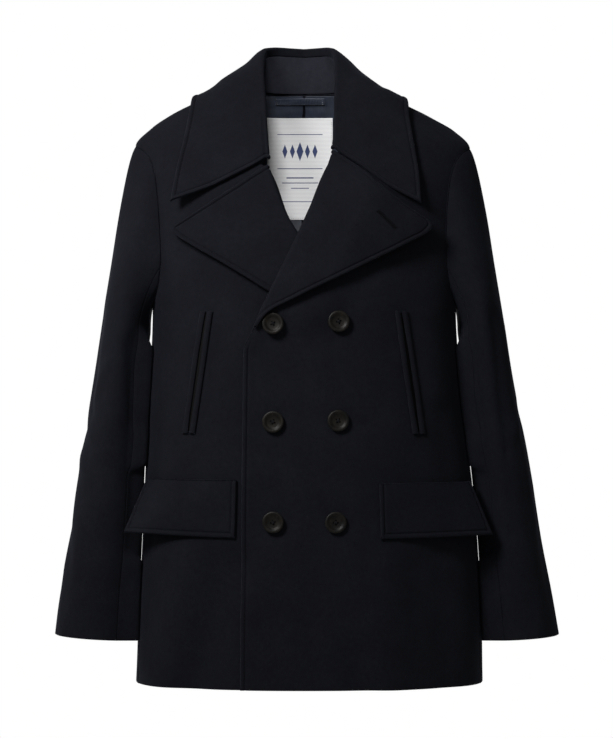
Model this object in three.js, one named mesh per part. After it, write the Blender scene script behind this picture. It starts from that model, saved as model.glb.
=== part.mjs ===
// A men's double-breasted pea coat, filled out as if worn, with nobody in it.
// Millimetres. +Z is up, the fronts face -Y and the wearer's left is +X. The origin lies midway
// between the neck ends of the two shoulder seams, where the shoulders carry the coat.

import * as THREE from 'three';

// Thicknesses and clearances.
const WOOL = 3;
const FALL_WALL = 3.6;
const LAPEL_WALL = 4;
const LINING_WALL = 1.2;
const LABEL_WALL = 1;
const SEAM_GAP = 0.3;
const LINING_GAP = 0.8;
const LABEL_GAP = 0.7;

// Heights that several pieces share.
const HEM = -770;
const ARMPIT = -285;
const SHOULDER = -76;
const NECK_END = -3;
const ROLL_RADIUS = 5;
const LAP_LIFT = 5;
const LAPEL_PASSAGE = 8;
const ROLL_CLEAR = 1.8;

// Buttons, 44 ligne.
const BUTTON_RADIUS = 13.6;
const BUTTON_HEIGHT = 4.2;
const BUTTON_SIDES = 14;
const SHANK = 2;
const SHANK_RADIUS = 3;
const SHANK_SEAT = 0.45;

// Level rings of the body: half its width, how far its middle stands to the wearer's left,
// its depth in front of and behind the shoulder line, and the power of its rounded outline.
const BODY_RINGS = [
  { z: 0, half: 72, shift: 0, front: 16, back: 60, power: 2 },
  { z: -9, half: 110, shift: 0, front: 23, back: 66, power: 2 },
  { z: -22.5, half: 148, shift: 0, front: 33, back: 74, power: 2 },
  { z: -36.5, half: 174, shift: -1, front: 41, back: 81, power: 2 },
  { z: -52.5, half: 197, shift: -1, front: 51, back: 87, power: 2 },
  { z: -76, half: 217, shift: -1.5, front: 62, back: 94, power: 2.02 },
  { z: -95, half: 213, shift: -1.5, front: 71, back: 98, power: 2.1 },
  { z: -130, half: 206, shift: -1.5, front: 87, back: 104, power: 2.2 },
  { z: -170, half: 202, shift: -1.5, front: 98, back: 108, power: 2.3 },
  { z: -215, half: 200, shift: -1, front: 107, back: 110, power: 2.4 },
  { z: -285, half: 197, shift: 0, front: 117, back: 110, power: 2.45 },
  { z: -327, half: 198.2, shift: 0.3, front: 119, back: 110, power: 2.45 },
  { z: -405, half: 203, shift: 1.5, front: 122, back: 110, power: 2.45 },
  { z: -475, half: 209.7, shift: 4.3, front: 123.5, back: 112, power: 2.45 },
  { z: -588, half: 217.3, shift: 7.7, front: 126.5, back: 117, power: 2.45 },
  { z: -666, half: 221.5, shift: 8, front: 129, back: 121, power: 2.45 },
  { z: -770, half: 224.7, shift: 7.3, front: 131, back: 125, power: 2.45 },
];

// How far round the body each armhole reaches, as a share of its half width at that height.
const ARMHOLE = [
  { z: -76, front: 1, back: 1 },
  { z: -84, front: 0.95, back: 0.955 },
  { z: -95, front: 0.925, back: 0.94 },
  { z: -112, front: 0.914, back: 0.93 },
  { z: -130, front: 0.915, back: 0.928 },
  { z: -170, front: 0.916, back: 0.93 },
  { z: -215, front: 0.915, back: 0.932 },
  { z: -250, front: 0.937, back: 0.95 },
  { z: -269, front: 0.964, back: 0.972 },
  { z: -279, front: 0.986, back: 0.989 },
  { z: -285, front: 1, back: 1 },
];

// Soft folds of the fronts and back: ridges and hollows laid from one place to another, with
// the height of the ridge (a hollow is below zero) and the half width over which it fades.
const FOLDS = [
  { face: -1, fromX: -34, fromZ: -320, toX: -32, toZ: -560, height: -3.5, spread: 26 },
  { face: -1, fromX: -150, fromZ: -600, toX: -178, toZ: -770, height: 5, spread: 26 },
  { face: -1, fromX: -100, fromZ: -620, toX: -142, toZ: -770, height: -6, spread: 27 },
  { face: -1, fromX: 92, fromZ: -620, toX: 112, toZ: -770, height: 5, spread: 34 },
  { face: -1, fromX: 68, fromZ: -730, toX: 78, toZ: -770, height: -5, spread: 24 },
  { face: -1, fromX: 172, fromZ: -600, toX: 182, toZ: -770, height: -4, spread: 20 },
  { face: -1, fromX: 158, fromZ: -300, toX: 166, toZ: -400, height: 3, spread: 18 },
  { face: -1, fromX: -176, fromZ: -290, toX: -168, toZ: -400, height: -3, spread: 16 },
  { face: 1, fromX: -95, fromZ: -420, toX: -125, toZ: -770, height: 6, spread: 34 },
  { face: 1, fromX: 15, fromZ: -520, toX: 25, toZ: -770, height: -5, spread: 36 },
  { face: 1, fromX: 110, fromZ: -450, toX: 135, toZ: -770, height: 6, spread: 32 },
  { face: 1, fromX: -150, fromZ: -210, toX: -120, toZ: -330, height: -4, spread: 22 },
  { face: 1, fromX: 152, fromZ: -220, toX: 122, toZ: -340, height: -4, spread: 22 },
];

// The free edge of each front: the lap below the break, then the lapel's roll line, then the
// neck seam up to the shoulder.
const LEFT_FRONT_EDGE = [
  { z: -770, x: -80 },
  { z: -588, x: -79 },
  { z: -444, x: -77.5 },
  { z: -345, x: -76 },
  { z: -318, x: -65 },
  { z: -288, x: -52 },
  { z: -175, x: 2 },
  { z: -97, x: 34 },
  { z: -84, x: 46 },
  { z: -60, x: 56 },
  { z: -32, x: 65 },
  { z: -3, x: 71 },
];
const RIGHT_FRONT_EDGE = [
  { z: -770, x: 80 },
  { z: -588, x: 79 },
  { z: -444, x: 78 },
  { z: -345, x: 76 },
  { z: -318, x: 66 },
  { z: -288, x: 50 },
  { z: -235, x: 21 },
  { z: -200, x: -2 },
  { z: -175, x: -18 },
  { z: -112, x: -43 },
  { z: -97, x: -61 },
  { z: -70, x: -63 },
  { z: -32, x: -67 },
  { z: -3, x: -71 },
];

// Where each lapel folds back and where its free edge runs, from the notch to the break.
const LEFT_LAPEL = [
  { rollX: 36, rollZ: -92.5, edgeX: 150, edgeZ: -180 },
  { rollX: 33, rollZ: -100, edgeX: 154, edgeZ: -187 },
  { rollX: 29, rollZ: -109, edgeX: 149, edgeZ: -195 },
  { rollX: 21, rollZ: -129, edgeX: 122, edgeZ: -211 },
  { rollX: 8, rollZ: -161, edgeX: 87, edgeZ: -230 },
  { rollX: -10, rollZ: -201, edgeX: 45, edgeZ: -252 },
  { rollX: -32, rollZ: -247, edgeX: -8, edgeZ: -277 },
  { rollX: -52, rollZ: -288, edgeX: -44, edgeZ: -295 },
  { rollX: -63, rollZ: -312, edgeX: -58.5, edgeZ: -313 },
];
const RIGHT_LAPEL = [
  { rollX: -45.5, rollZ: -106, edgeX: -159, edgeZ: -185 },
  { rollX: -42.5, rollZ: -113, edgeX: -162, edgeZ: -191 },
  { rollX: -38, rollZ: -124, edgeX: -157, edgeZ: -197 },
  { rollX: -30, rollZ: -146, edgeX: -135, edgeZ: -212 },
  { rollX: -18, rollZ: -175, edgeX: -104, edgeZ: -231 },
  { rollX: -3, rollZ: -199, edgeX: -72, edgeZ: -251 },
  { rollX: 6, rollZ: -213, edgeX: -47, edgeZ: -267 },
  { rollX: 13, rollZ: -224, edgeX: -24, edgeZ: -281 },
];

// The collar, from its front points to the middle of the back: its fold, and the outer edge of
// the fall, as they lie on the wearer's right and on the wearer's left.
const COLLAR = [
  { rightFold: 46, leftFold: 37.5, foldY: -74, rightZ: -99, leftZ: -86,
    rightEdge: 160, leftEdge: 150, edgeY: -88, edgeZ: -145 },
  { rightFold: 49, leftFold: 41, foldY: -60, rightZ: -66, leftZ: -58,
    rightEdge: 157, leftEdge: 147, edgeY: -68, edgeZ: -102 },
  { rightFold: 52, leftFold: 45, foldY: -36, rightZ: -20, leftZ: -18,
    rightEdge: 151, leftEdge: 140, edgeY: -42, edgeZ: -52 },
  { rightFold: 55, leftFold: 48, foldY: -6, rightZ: 24, leftZ: 24,
    rightEdge: 143, leftEdge: 131, edgeY: 6, edgeZ: -13 },
  { rightFold: 53, leftFold: 47, foldY: 28, rightZ: 49, leftZ: 49,
    rightEdge: 122, leftEdge: 114, edgeY: 54, edgeZ: -24 },
  { rightFold: 33, leftFold: 30, foldY: 52, rightZ: 54, leftZ: 54,
    rightEdge: 70, leftEdge: 66, edgeY: 88, edgeZ: -36 },
  { rightFold: 0, leftFold: 0, foldY: 61, rightZ: 52, leftZ: 52,
    rightEdge: 0, leftEdge: 0, edgeY: 98, edgeZ: -42 },
];

// The sleeves: outer reach and half width on each side, middle and half depth front to back.
const SLEEVE_RINGS = [
  { z: -200, rightOut: 246, rightHalf: 31, leftOut: 243, leftHalf: 30, midY: 11, depth: 74 },
  { z: -245, rightOut: 254, rightHalf: 33, leftOut: 251, leftHalf: 31, midY: 12, depth: 75 },
  { z: -327, rightOut: 266.6, rightHalf: 32.5, leftOut: 264, leftHalf: 31, midY: 12, depth: 74 },
  { z: -405, rightOut: 278, rightHalf: 36.5, leftOut: 277, leftHalf: 34.5, midY: 10, depth: 70 },
  { z: -475, rightOut: 289, rightHalf: 40.5, leftOut: 291, leftHalf: 36, midY: 7, depth: 65 },
  { z: -588, rightOut: 306, rightHalf: 47, leftOut: 309, leftHalf: 40, midY: 2, depth: 57 },
  { z: -666, rightOut: 318.5, rightHalf: 51, leftOut: 323.5, leftHalf: 44.5, midY: -4, depth: 51 },
  { z: -720, rightOut: 324.5, rightHalf: 53, leftOut: 333, leftHalf: 47.5, midY: -8, depth: 48 },
];
const CAP_END_OUTER = -245;
const CAP_END_INNER = -322;
const CUFF_OUTER = -709;
const CUFF_INNER = -716;
const FRONT_SEAM_TURN = 126;
const BACK_SEAM_TURN = -112;

// Pocket openings for the hands, from top to bottom, and the jets on each side of them.
const HAND_POCKETS = [
  { side: 'right', topX: -123, topZ: -292, bottomX: -145.5, bottomZ: -447 },
  { side: 'left', topX: 121.5, topZ: -292, bottomX: 145, bottomZ: -448 },
];
const JET_WIDTH = 8.6;
const JET_WALL = 1.8;
const JET_GAP = 0.8;

// Flaps of the lower pockets: where they start near the middle, and where their far corners
// stand out past the side of the body.
const FLAPS = [
  {
    side: 'right', sign: -1, inner: 84, top: 199, bottom: 231, bottomY: -67,
    topZ: -505, bottomZ: -579, farZ: -574,
  },
  {
    side: 'left', sign: 1, inner: 93, top: 210, bottom: 242, bottomY: -67,
    topZ: -509, bottomZ: -580, farZ: -577,
  },
];
const FLAP_WALL = 3;
const FLAP_GAP = 1.1;

// Buttons, in two columns on the lapping front.
const BUTTONS = [
  { name: 'button_left_1', x: 43, z: -305 },
  { name: 'button_left_2', x: 43, z: -430.5 },
  { name: 'button_left_3', x: 40, z: -558.5 },
  { name: 'button_right_1', x: -39, z: -307 },
  { name: 'button_right_2', x: -38.5, z: -432 },
  { name: 'button_right_3', x: -38.5, z: -558.5 },
];

// What shows inside the back of the neck.
const LINING = { left: 86, right: -86, top: -4, bottom: -232 };
const LABEL = { left: 38.5, right: -49.5, top: -31, bottom: -166 };
const LOOP = { left: 28, right: -38.5, top: -4.5, bottom: -13.5, wall: 1.6, stand: 1.5 };

const melton = { roughness: 0.95, metalness: 0 };
const finishes = {
  wool: new THREE.MeshStandardMaterial({ color: 0x1f2028, ...melton }),
  facing: new THREE.MeshStandardMaterial({ color: 0x202129, ...melton }),
  lining: new THREE.MeshStandardMaterial({ color: 0x282d36, roughness: 0.45, metalness: 0 }),
  label: new THREE.MeshStandardMaterial({ color: 0xdbdbdd, roughness: 0.6, metalness: 0 }),
  horn: new THREE.MeshStandardMaterial({ color: 0x2a2622, roughness: 0.35, metalness: 0 }),
};

// Numbers from 0 to 1 in equal steps.
const steps = (count) => Array.from({ length: count + 1 }, (_, index) => index / count);

const mix = (from, to, share) => from + (to - from) * share;

const radians = (degrees) => degrees * Math.PI / 180;

// A smooth value from a table's column, for a place given by another column or by row number.
// It never overshoots the rows that it passes between.
function lookUp(table, column, place, key) {
  const places = table.map((row, index) => (key ? row[key] : index));
  const rising = places[places.length - 1] > places[0] ? 1 : -1;
  let row = 0;
  while (row < table.length - 2 && (place - places[row + 1]) * rising > 0) row += 1;
  const slope = (index) => (table[index + 1][column] - table[index][column])
    / (places[index + 1] - places[index]);
  const tangent = (index) => {
    if (index === 0) return slope(0);
    if (index === table.length - 1) return slope(index - 1);
    const before = slope(index - 1);
    const after = slope(index);
    return before * after <= 0 ? 0 : 2 * before * after / (before + after);
  };
  const span = places[row + 1] - places[row];
  const share = Math.min(1, Math.max(0, (place - places[row]) / span));
  const square = share * share;
  const cube = square * share;
  return table[row][column] * (2 * cube - 3 * square + 1)
    + table[row + 1][column] * (3 * square - 2 * cube)
    + tangent(row) * span * (cube - 2 * square + share)
    + tangent(row + 1) * span * (cube - square);
}

const ringAt = (z, column) => lookUp(BODY_RINGS, column, z, 'z');

// Zero on the body's outer skin, above zero outside it.
function bodyLevel(x, y, z) {
  const power = ringAt(z, 'power');
  const across = Math.abs(x - ringAt(z, 'shift')) / ringAt(z, 'half');
  const deep = Math.abs(y) / ringAt(z, y < 0 ? 'front' : 'back');
  return across ** power + deep ** power - 1;
}

function bodySlope(x, y, z) {
  const e = 0.05;
  return new THREE.Vector3(
    bodyLevel(x + e, y, z) - bodyLevel(x - e, y, z),
    bodyLevel(x, y + e, z) - bodyLevel(x, y - e, z),
    bodyLevel(x, y, z + e) - bodyLevel(x, y, z - e),
  ).divideScalar(2 * e);
}

// How far a fold of the cloth lifts the skin at a place on the front (-1) or the back (1).
function foldHeight(x, z, face) {
  let height = 0;
  for (const fold of FOLDS) {
    if (fold.face !== face) continue;
    const alongX = fold.toX - fold.fromX;
    const alongZ = fold.toZ - fold.fromZ;
    const reach = (x - fold.fromX) * alongX + (z - fold.fromZ) * alongZ;
    const share = Math.min(1, Math.max(0, reach / (alongX ** 2 + alongZ ** 2)));
    const away = Math.hypot(x - fold.fromX - alongX * share, z - fold.fromZ - alongZ * share);
    height += fold.height * Math.exp(-((away / fold.spread) ** 2));
  }
  return height;
}

// A place on the body at a turn from the middle of the front towards the wearer's left, moved
// out by a lift, with the direction that faces out.
function bodyPlace(turn, z, lift = 0) {
  const power = ringAt(z, 'power');
  const across = Math.sin(turn);
  const ahead = Math.cos(turn);
  const size = (Math.abs(across) ** power + Math.abs(ahead) ** power) ** (1 / power);
  const x = ringAt(z, 'shift') + ringAt(z, 'half') * across / size;
  const y = -ringAt(z, ahead > 0 ? 'front' : 'back') * ahead / size;
  const out = bodySlope(x, y, z).normalize();
  const level = lift + foldHeight(x, z, ahead > 0 ? -1 : 1);
  return { at: new THREE.Vector3(x, y, z).addScaledVector(out, level), out };
}

// The turn, up to a quarter, that reaches a share of the body's half width at a height.
function turnOfShare(share, z) {
  if (share >= 1) return Math.PI / 2;
  const power = ringAt(z, 'power');
  return Math.atan2(share, (1 - share ** power) ** (1 / power));
}

// The turn at which the front or the back has a given X.
function turnAt(x, z, face = -1) {
  const across = (x - ringAt(z, 'shift')) / ringAt(z, 'half');
  const turn = Math.sign(across) * turnOfShare(Math.abs(across), z);
  return face < 0 ? turn : Math.PI - turn;
}

const frontPlace = (x, z, lift = 0) => bodyPlace(turnAt(x, z), z, lift);

// The wearer's left front lies on the other front where they lap, and rises over the other
// lapel where that one passes under it.
function leftFrontLift(x, z) {
  const lap = LAP_LIFT * (1 - THREE.MathUtils.smoothstep(x, 90, 150))
    * (1 - THREE.MathUtils.smoothstep(z, -200, -100));
  const alongRoll = Math.abs(x - lookUp(LEFT_FRONT_EDGE, 'x', z, 'z'));
  const overLapel = THREE.MathUtils.smoothstep(z, -335, -290)
    * (1 - THREE.MathUtils.smoothstep(z, -150, -100))
    * (1 - THREE.MathUtils.smoothstep(alongRoll, 62, 120));
  return lap + LAPEL_PASSAGE * overLapel;
}

const frontLift = (side, x, z) => (side === 'left' ? leftFrontLift(x, z) : 0);

// Moves a place out until it clears the body's skin by the given distance. The body ends at
// the neck, so nothing is moved above it.
function clearOfBody(place, distance) {
  for (let round = 0; round < 4; round += 1) {
    const beside = 1 - THREE.MathUtils.smoothstep(place.z, -18, NECK_END);
    const slope = bodySlope(place.x, place.y, place.z);
    const steepness = slope.length();
    const away = bodyLevel(place.x, place.y, place.z) / steepness;
    if (away < distance) {
      place.addScaledVector(slope.divideScalar(steepness), beside * (distance - away));
    }
  }
  return place;
}

// A closed mesh from points and triangles, turned so that its faces point out.
function closedMesh(points, triangles) {
  let volume = 0;
  for (const [a, b, c] of triangles) {
    volume += points[a].dot(new THREE.Vector3().crossVectors(points[b], points[c]));
  }
  const ordered = volume < 0 ? triangles.map(([a, b, c]) => [a, c, b]) : triangles;
  const geometry = new THREE.BufferGeometry();
  geometry.setAttribute('position', new THREE.Float32BufferAttribute(
    points.flatMap((point) => point.toArray()), 3,
  ));
  geometry.setIndex(ordered.flat());
  geometry.computeVertexNormals();
  return geometry;
}

// A wall between two matching grids of points, closed round its four edges.
function wall(outer, inner) {
  const rows = outer.length;
  const columns = outer[0].length;
  const points = [...outer.flat(), ...inner.flat()];
  const far = rows * columns;
  const triangles = [];
  const face = (a, b, c, d) => triangles.push([a, b, c], [a, c, d]);
  const corner = (row, column) => row * columns + column;
  for (let row = 0; row < rows - 1; row += 1) {
    for (let column = 0; column < columns - 1; column += 1) {
      const a = corner(row, column);
      const b = corner(row, column + 1);
      const c = corner(row + 1, column + 1);
      const d = corner(row + 1, column);
      face(a, b, c, d);
      face(far + a, far + d, far + c, far + b);
    }
  }
  for (let column = 0; column < columns - 1; column += 1) {
    const [a, b] = [corner(0, column), corner(0, column + 1)];
    face(a, far + a, far + b, b);
    const [c, d] = [corner(rows - 1, column), corner(rows - 1, column + 1)];
    face(c, d, far + d, far + c);
  }
  for (let row = 0; row < rows - 1; row += 1) {
    const [a, b] = [corner(row, 0), corner(row + 1, 0)];
    face(a, b, far + b, far + a);
    const [c, d] = [corner(row, columns - 1), corner(row + 1, columns - 1)];
    face(c, far + c, far + d, d);
  }
  return closedMesh(points, triangles);
}

// A wall from a grid of places, each with the direction that faces out.
function wallOf(grid, thickness) {
  const outer = grid.map((row) => row.map((place) => place.at.clone()));
  const inner = grid.map((row) => row.map(
    (place) => place.at.clone().addScaledVector(place.out, -thickness),
  ));
  return { outer, inner };
}

// Draws an edge column back from its seam by half the seam's gap.
function part({ outer, inner }, edges) {
  for (const rows of [outer, inner]) {
    for (const row of rows) {
      const last = row.length - 1;
      const pull = (index, next) => {
        const step = row[next].clone().sub(row[index]);
        row[index].addScaledVector(step, SEAM_GAP / 2 / step.length());
      };
      if (edges.includes('first')) pull(0, 1);
      if (edges.includes('last')) pull(last, last - 1);
    }
  }
  return { outer, inner };
}

// Gives each point of a grid the direction that faces out, from its neighbours' places.
function facing(points, sign) {
  const last = { row: points.length - 1, column: points[0].length - 1 };
  return points.map((line, row) => line.map((at, column) => {
    const along = points[row][Math.min(column + 1, last.column)].clone()
      .sub(points[row][Math.max(column - 1, 0)]);
    const down = points[Math.min(row + 1, last.row)][column].clone()
      .sub(points[Math.max(row - 1, 0)][column]);
    return { at, out: along.cross(down).normalize().multiplyScalar(sign) };
  }));
}

const group = new THREE.Group();

function add(name, geometry, finish) {
  const mesh = new THREE.Mesh(geometry, finishes[finish]);
  mesh.name = name;
  group.add(mesh);
  return mesh;
}

// Heights of the rows that the fronts, the back and the armholes share.
const ROWS_BELOW = 13;
const ROWS_SHOULDER = [-66, -55, -44, -34, -25, -17, -10, NECK_END];
const ROWS_ARMHOLE = [
  ARMPIT, -279, -269, -255, -238, -216, -192, -168, -145, -124, -107, -94, -84, SHOULDER,
];
const rowsBelow = steps(ROWS_BELOW).slice(0, -1).map((share) => mix(HEM, ARMPIT, share));
const rowHeights = [...rowsBelow, ...ROWS_ARMHOLE, ...ROWS_SHOULDER];

// The side seam stands forward of the widest line low down, and the armhole cuts in above it.
function seamTurn(z, face) {
  if (z > SHOULDER || z === ARMPIT) return Math.PI / 2;
  if (z < ARMPIT) {
    const forward = radians(16) * THREE.MathUtils.smoothstep(-z, -ARMPIT, 560);
    return Math.PI / 2 - forward;
  }
  const share = lookUp(ARMHOLE, face < 0 ? 'front' : 'back', z, 'z');
  const turn = turnOfShare(share, z);
  return face < 0 ? turn : Math.PI - turn;
}

const FRONT_COLUMNS = 11;
const BACK_COLUMNS = 16;

function front(side) {
  const sign = side === 'left' ? 1 : -1;
  const edge = side === 'left' ? LEFT_FRONT_EDGE : RIGHT_FRONT_EDGE;
  const grid = rowHeights.map((z) => {
    const start = turnAt(lookUp(edge, 'x', z, 'z'), z);
    const end = sign * seamTurn(z, -1);
    return steps(FRONT_COLUMNS).map((share) => {
      const turn = mix(start, end, share);
      const x = bodyPlace(turn, z).at.x;
      return bodyPlace(turn, z, frontLift(side, x, z));
    });
  });
  const { outer, inner } = part(wallOf(grid, WOOL), ['last']);
  return add(`front_${side}`, wall(outer, inner), 'wool');
}

function back() {
  const grid = rowHeights.map((z) => {
    const seam = seamTurn(z, 1);
    return steps(BACK_COLUMNS).map((share) => {
      const turn = mix(seam, 2 * Math.PI - seam, share);
      return bodyPlace(turn, z);
    });
  });
  const { outer, inner } = part(wallOf(grid, WOOL), ['first', 'last']);
  return add('back', wall(outer, inner), 'wool');
}

// The armhole's loop on the body, from the shoulder down the front, under and up the back.
function armholeLoop(sign) {
  const heights = [...ROWS_ARMHOLE].reverse();
  const frontHalf = heights.map((z) => bodyPlace(sign * seamTurn(z, -1), z));
  const backHalf = heights.map((z) => bodyPlace(sign * seamTurn(z, 1), z));
  const halfTurns = (half, direction) => {
    const lengths = [0];
    for (let index = 1; index < half.length; index += 1) {
      const gone = half[index].at.distanceTo(half[index - 1].at);
      lengths.push(lengths[index - 1] + gone);
    }
    return lengths.map((length) => direction * Math.PI * length / lengths[lengths.length - 1]);
  };
  const frontTurns = halfTurns(frontHalf, 1);
  const backTurns = halfTurns(backHalf, -1);
  const loop = frontHalf.map((place, index) => ({ ...place, turn: frontTurns[index] }));
  for (let index = backHalf.length - 2; index > 0; index -= 1) {
    loop.push({ ...backHalf[index], turn: backTurns[index] });
  }
  return loop;
}

// A place on the hanging part of a sleeve, at a turn from its outer line towards its front.
function sleevePlace(side, turn, z) {
  const sign = side === 'left' ? 1 : -1;
  const out = lookUp(SLEEVE_RINGS, `${side}Out`, z, 'z');
  const half = lookUp(SLEEVE_RINGS, `${side}Half`, z, 'z');
  const depth = lookUp(SLEEVE_RINGS, 'depth', z, 'z');
  const midY = lookUp(SLEEVE_RINGS, 'midY', z, 'z');
  return new THREE.Vector3(
    sign * (out - half + half * Math.cos(turn)),
    midY - depth * Math.sin(turn),
    z,
  );
}

const RIM_FADE = 0.45;
const CAP_ROWS = 7;
const ARM_ROWS = 10;

// The share of the way from a sleeve's outer line to its inner line.
const inwards = (turn) => (1 - Math.cos(turn)) / 2;

// One line of a sleeve from the armhole to the cuff, with its cap bent over from the seam.
function sleeveLine(side, from, start, turn) {
  const capEnd = mix(CAP_END_OUTER, CAP_END_INNER, inwards(turn));
  const cuff = mix(CUFF_OUTER, CUFF_INNER, inwards(turn));
  const to = sleevePlace(side, turn, capEnd);
  const after = sleevePlace(side, turn, capEnd - 1);
  const length = from.distanceTo(to);
  const leave = start.clone().multiplyScalar(mix(60, 22, inwards(turn)));
  const arrive = after.sub(to).normalize().multiplyScalar(length);
  const points = steps(CAP_ROWS).map((share) => {
    const [square, cube] = [share ** 2, share ** 3];
    return from.clone().multiplyScalar(2 * cube - 3 * square + 1)
      .addScaledVector(to, 3 * square - 2 * cube)
      .addScaledVector(leave, cube - 2 * square + share)
      .addScaledVector(arrive, cube - square);
  });
  for (const share of steps(ARM_ROWS).slice(1)) {
    points.push(sleevePlace(side, turn, mix(capEnd, cuff, share)));
  }
  return points;
}

function sleeve(side) {
  const sign = side === 'left' ? 1 : -1;
  const loop = armholeLoop(sign);
  const count = loop.length;
  const middle = new THREE.Vector3(sign * 203, 2, -180);
  const rims = [];
  const lines = loop.map((place, index) => {
    const next = loop[(index + 1) % count].at;
    const before = loop[(index + count - 1) % count].at;
    const along = next.clone().sub(before).normalize();
    const across = along.cross(place.out).normalize();
    if (across.dot(middle.clone().sub(place.at)) < 0) across.negate();
    const under = inwards(place.turn);
    const start = new THREE.Vector3(
      sign * mix(0.6, 0.72, under),
      -0.3 * Math.sin(place.turn),
      mix(-0.8, -0.62, under),
    ).normalize();
    const from = place.at.clone().addScaledVector(across, SEAM_GAP * (1 + under));
    const bend = Math.atan2(-start.dot(place.out), start.dot(across));
    const swing = Math.max(0, -bend) / 2;
    rims.push(place.out.clone().multiplyScalar(-Math.cos(swing))
      .addScaledVector(across, Math.sin(swing)));
    return sleeveLine(side, from, start, place.turn);
  });
  const rows = lines[0].length;
  const outer = [];
  const inner = [];
  for (let row = 0; row < rows; row += 1) {
    outer.push(lines.map((line) => line[row]));
    inner.push(lines.map((line, index) => {
      const at = line[row];
      if (row === 0) return at.clone().addScaledVector(rims[index], WOOL);
      const along = lines[(index + 1) % count][row].clone()
        .sub(lines[(index + count - 1) % count][row]);
      const down = line[Math.min(row + 1, rows - 1)].clone().sub(line[row - 1]);
      const inside = along.cross(down).normalize().multiplyScalar(-sign);
      inside.lerp(rims[index], RIM_FADE ** row).normalize();
      return at.clone().addScaledVector(inside, WOOL);
    }));
  }
  const nearest = (degrees) => {
    const aim = radians(degrees);
    const misses = loop.map((place) => Math.abs(place.turn - aim));
    return misses.indexOf(Math.min(...misses));
  };
  const frontSeam = nearest(FRONT_SEAM_TURN);
  const backSeam = nearest(BACK_SEAM_TURN);
  const pick = (grid, from, to) => grid.map((row) => {
    const picked = [];
    for (let index = from; index <= to; index += 1) picked.push(row[index % count].clone());
    return picked;
  });
  const pieces = [
    { name: `sleeve_under_${side}`, from: frontSeam, to: backSeam },
    { name: `sleeve_top_${side}`, from: backSeam, to: frontSeam + count },
  ];
  for (const { name, from, to } of pieces) {
    const parted = part(
      { outer: pick(outer, from, to), inner: pick(inner, from, to) },
      ['first', 'last'],
    );
    add(name, wall(parted.outer, parted.inner), 'wool');
  }
}

// A lapel: its cloth turns over at the roll line and lies back on the front, standing a little
// proud of it towards its free edge.
const LAPEL_ROWS = 14;
const LAPEL_INSETS = [0, 0.8, 2.4, ROLL_RADIUS];
const LAPEL_COLUMNS = 6;

function lapel(side) {
  const table = side === 'left' ? LEFT_LAPEL : RIGHT_LAPEL;
  const stand = side === 'left' ? 7 : 4;
  const points = steps(LAPEL_ROWS).map((down) => {
    const at = (column) => lookUp(table, column, down * (table.length - 1));
    const roll = new THREE.Vector2(at('rollX'), at('rollZ'));
    const edge = new THREE.Vector2(at('edgeX'), at('edgeZ'));
    const reach = roll.distanceTo(edge);
    const start = Math.min(ROLL_RADIUS, reach * 0.7);
    const insets = LAPEL_INSETS.map((inset) => inset * start / ROLL_RADIUS);
    for (const share of steps(LAPEL_COLUMNS).slice(1)) insets.push(mix(start, reach, share));
    return insets.map((inset) => {
      const spot = roll.clone().lerp(edge, inset / reach);
      const short = Math.max(0, start - inset);
      const rolled = Math.sqrt(Math.max(0, start ** 2 - short ** 2)) * ROLL_RADIUS / start;
      const proud = stand * Math.max(0, inset - start) / 120;
      const lift = frontLift(side, spot.x, spot.y) + ROLL_CLEAR + rolled + proud;
      return frontPlace(spot.x, spot.y, lift).at;
    });
  });
  const grid = facing(points, side === 'left' ? -1 : 1);
  const { outer, inner } = wallOf(grid, LAPEL_WALL);
  return add(`lapel_${side}`, wall(outer, inner), 'facing');
}

// Places of the collar at a station from -1, the wearer's right front, to 1, the left front.
function collarStation(station) {
  const sign = station < 0 ? -1 : 1;
  const side = station < 0 ? 'right' : 'left';
  const row = (1 - Math.abs(station)) * (COLLAR.length - 1);
  const at = (column) => lookUp(COLLAR, column, row);
  const fold = new THREE.Vector3(sign * at(`${side}Fold`), at('foldY'), at(`${side}Z`));
  const edge = new THREE.Vector3(sign * at(`${side}Edge`), at('edgeY'), at('edgeZ'));
  return { fold, edge };
}

// The collar's own directions at a station: out from the neck, and up off the coat.
function collarFrame(station) {
  const before = collarStation(station - 0.02).fold;
  const after = collarStation(station + 0.02).fold;
  const { fold, edge } = collarStation(station);
  const along = after.sub(before).normalize();
  const lean = radians(55) * THREE.MathUtils.smoothstep(Math.abs(station), 0, 0.6);
  const up = new THREE.Vector3(0, -Math.sin(lean), Math.cos(lean));
  up.addScaledVector(along, -up.dot(along)).normalize();
  const out = along.clone().cross(up);
  if (out.dot(edge.clone().sub(fold)) < 0) out.negate();
  return { fold, edge, out, up };
}

const COLLAR_STATIONS = 30;
const FALL_ROWS = 6;
const COLLAR_END = 0.985;
const FOLD_DEPTH = 11;
const STAND_FACE = 3.2;
const FALL_CLEARANCE = FALL_WALL + 2;
const FALL_PROUD = 4;

const collarStations = steps(COLLAR_STATIONS).map((share) => mix(-COLLAR_END, COLLAR_END, share));

// How deep the fall reaches inside the neck before its seam with the stand.
const foldDepth = (station) => mix(FOLD_DEPTH, 4, Math.abs(station) ** 3);

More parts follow.
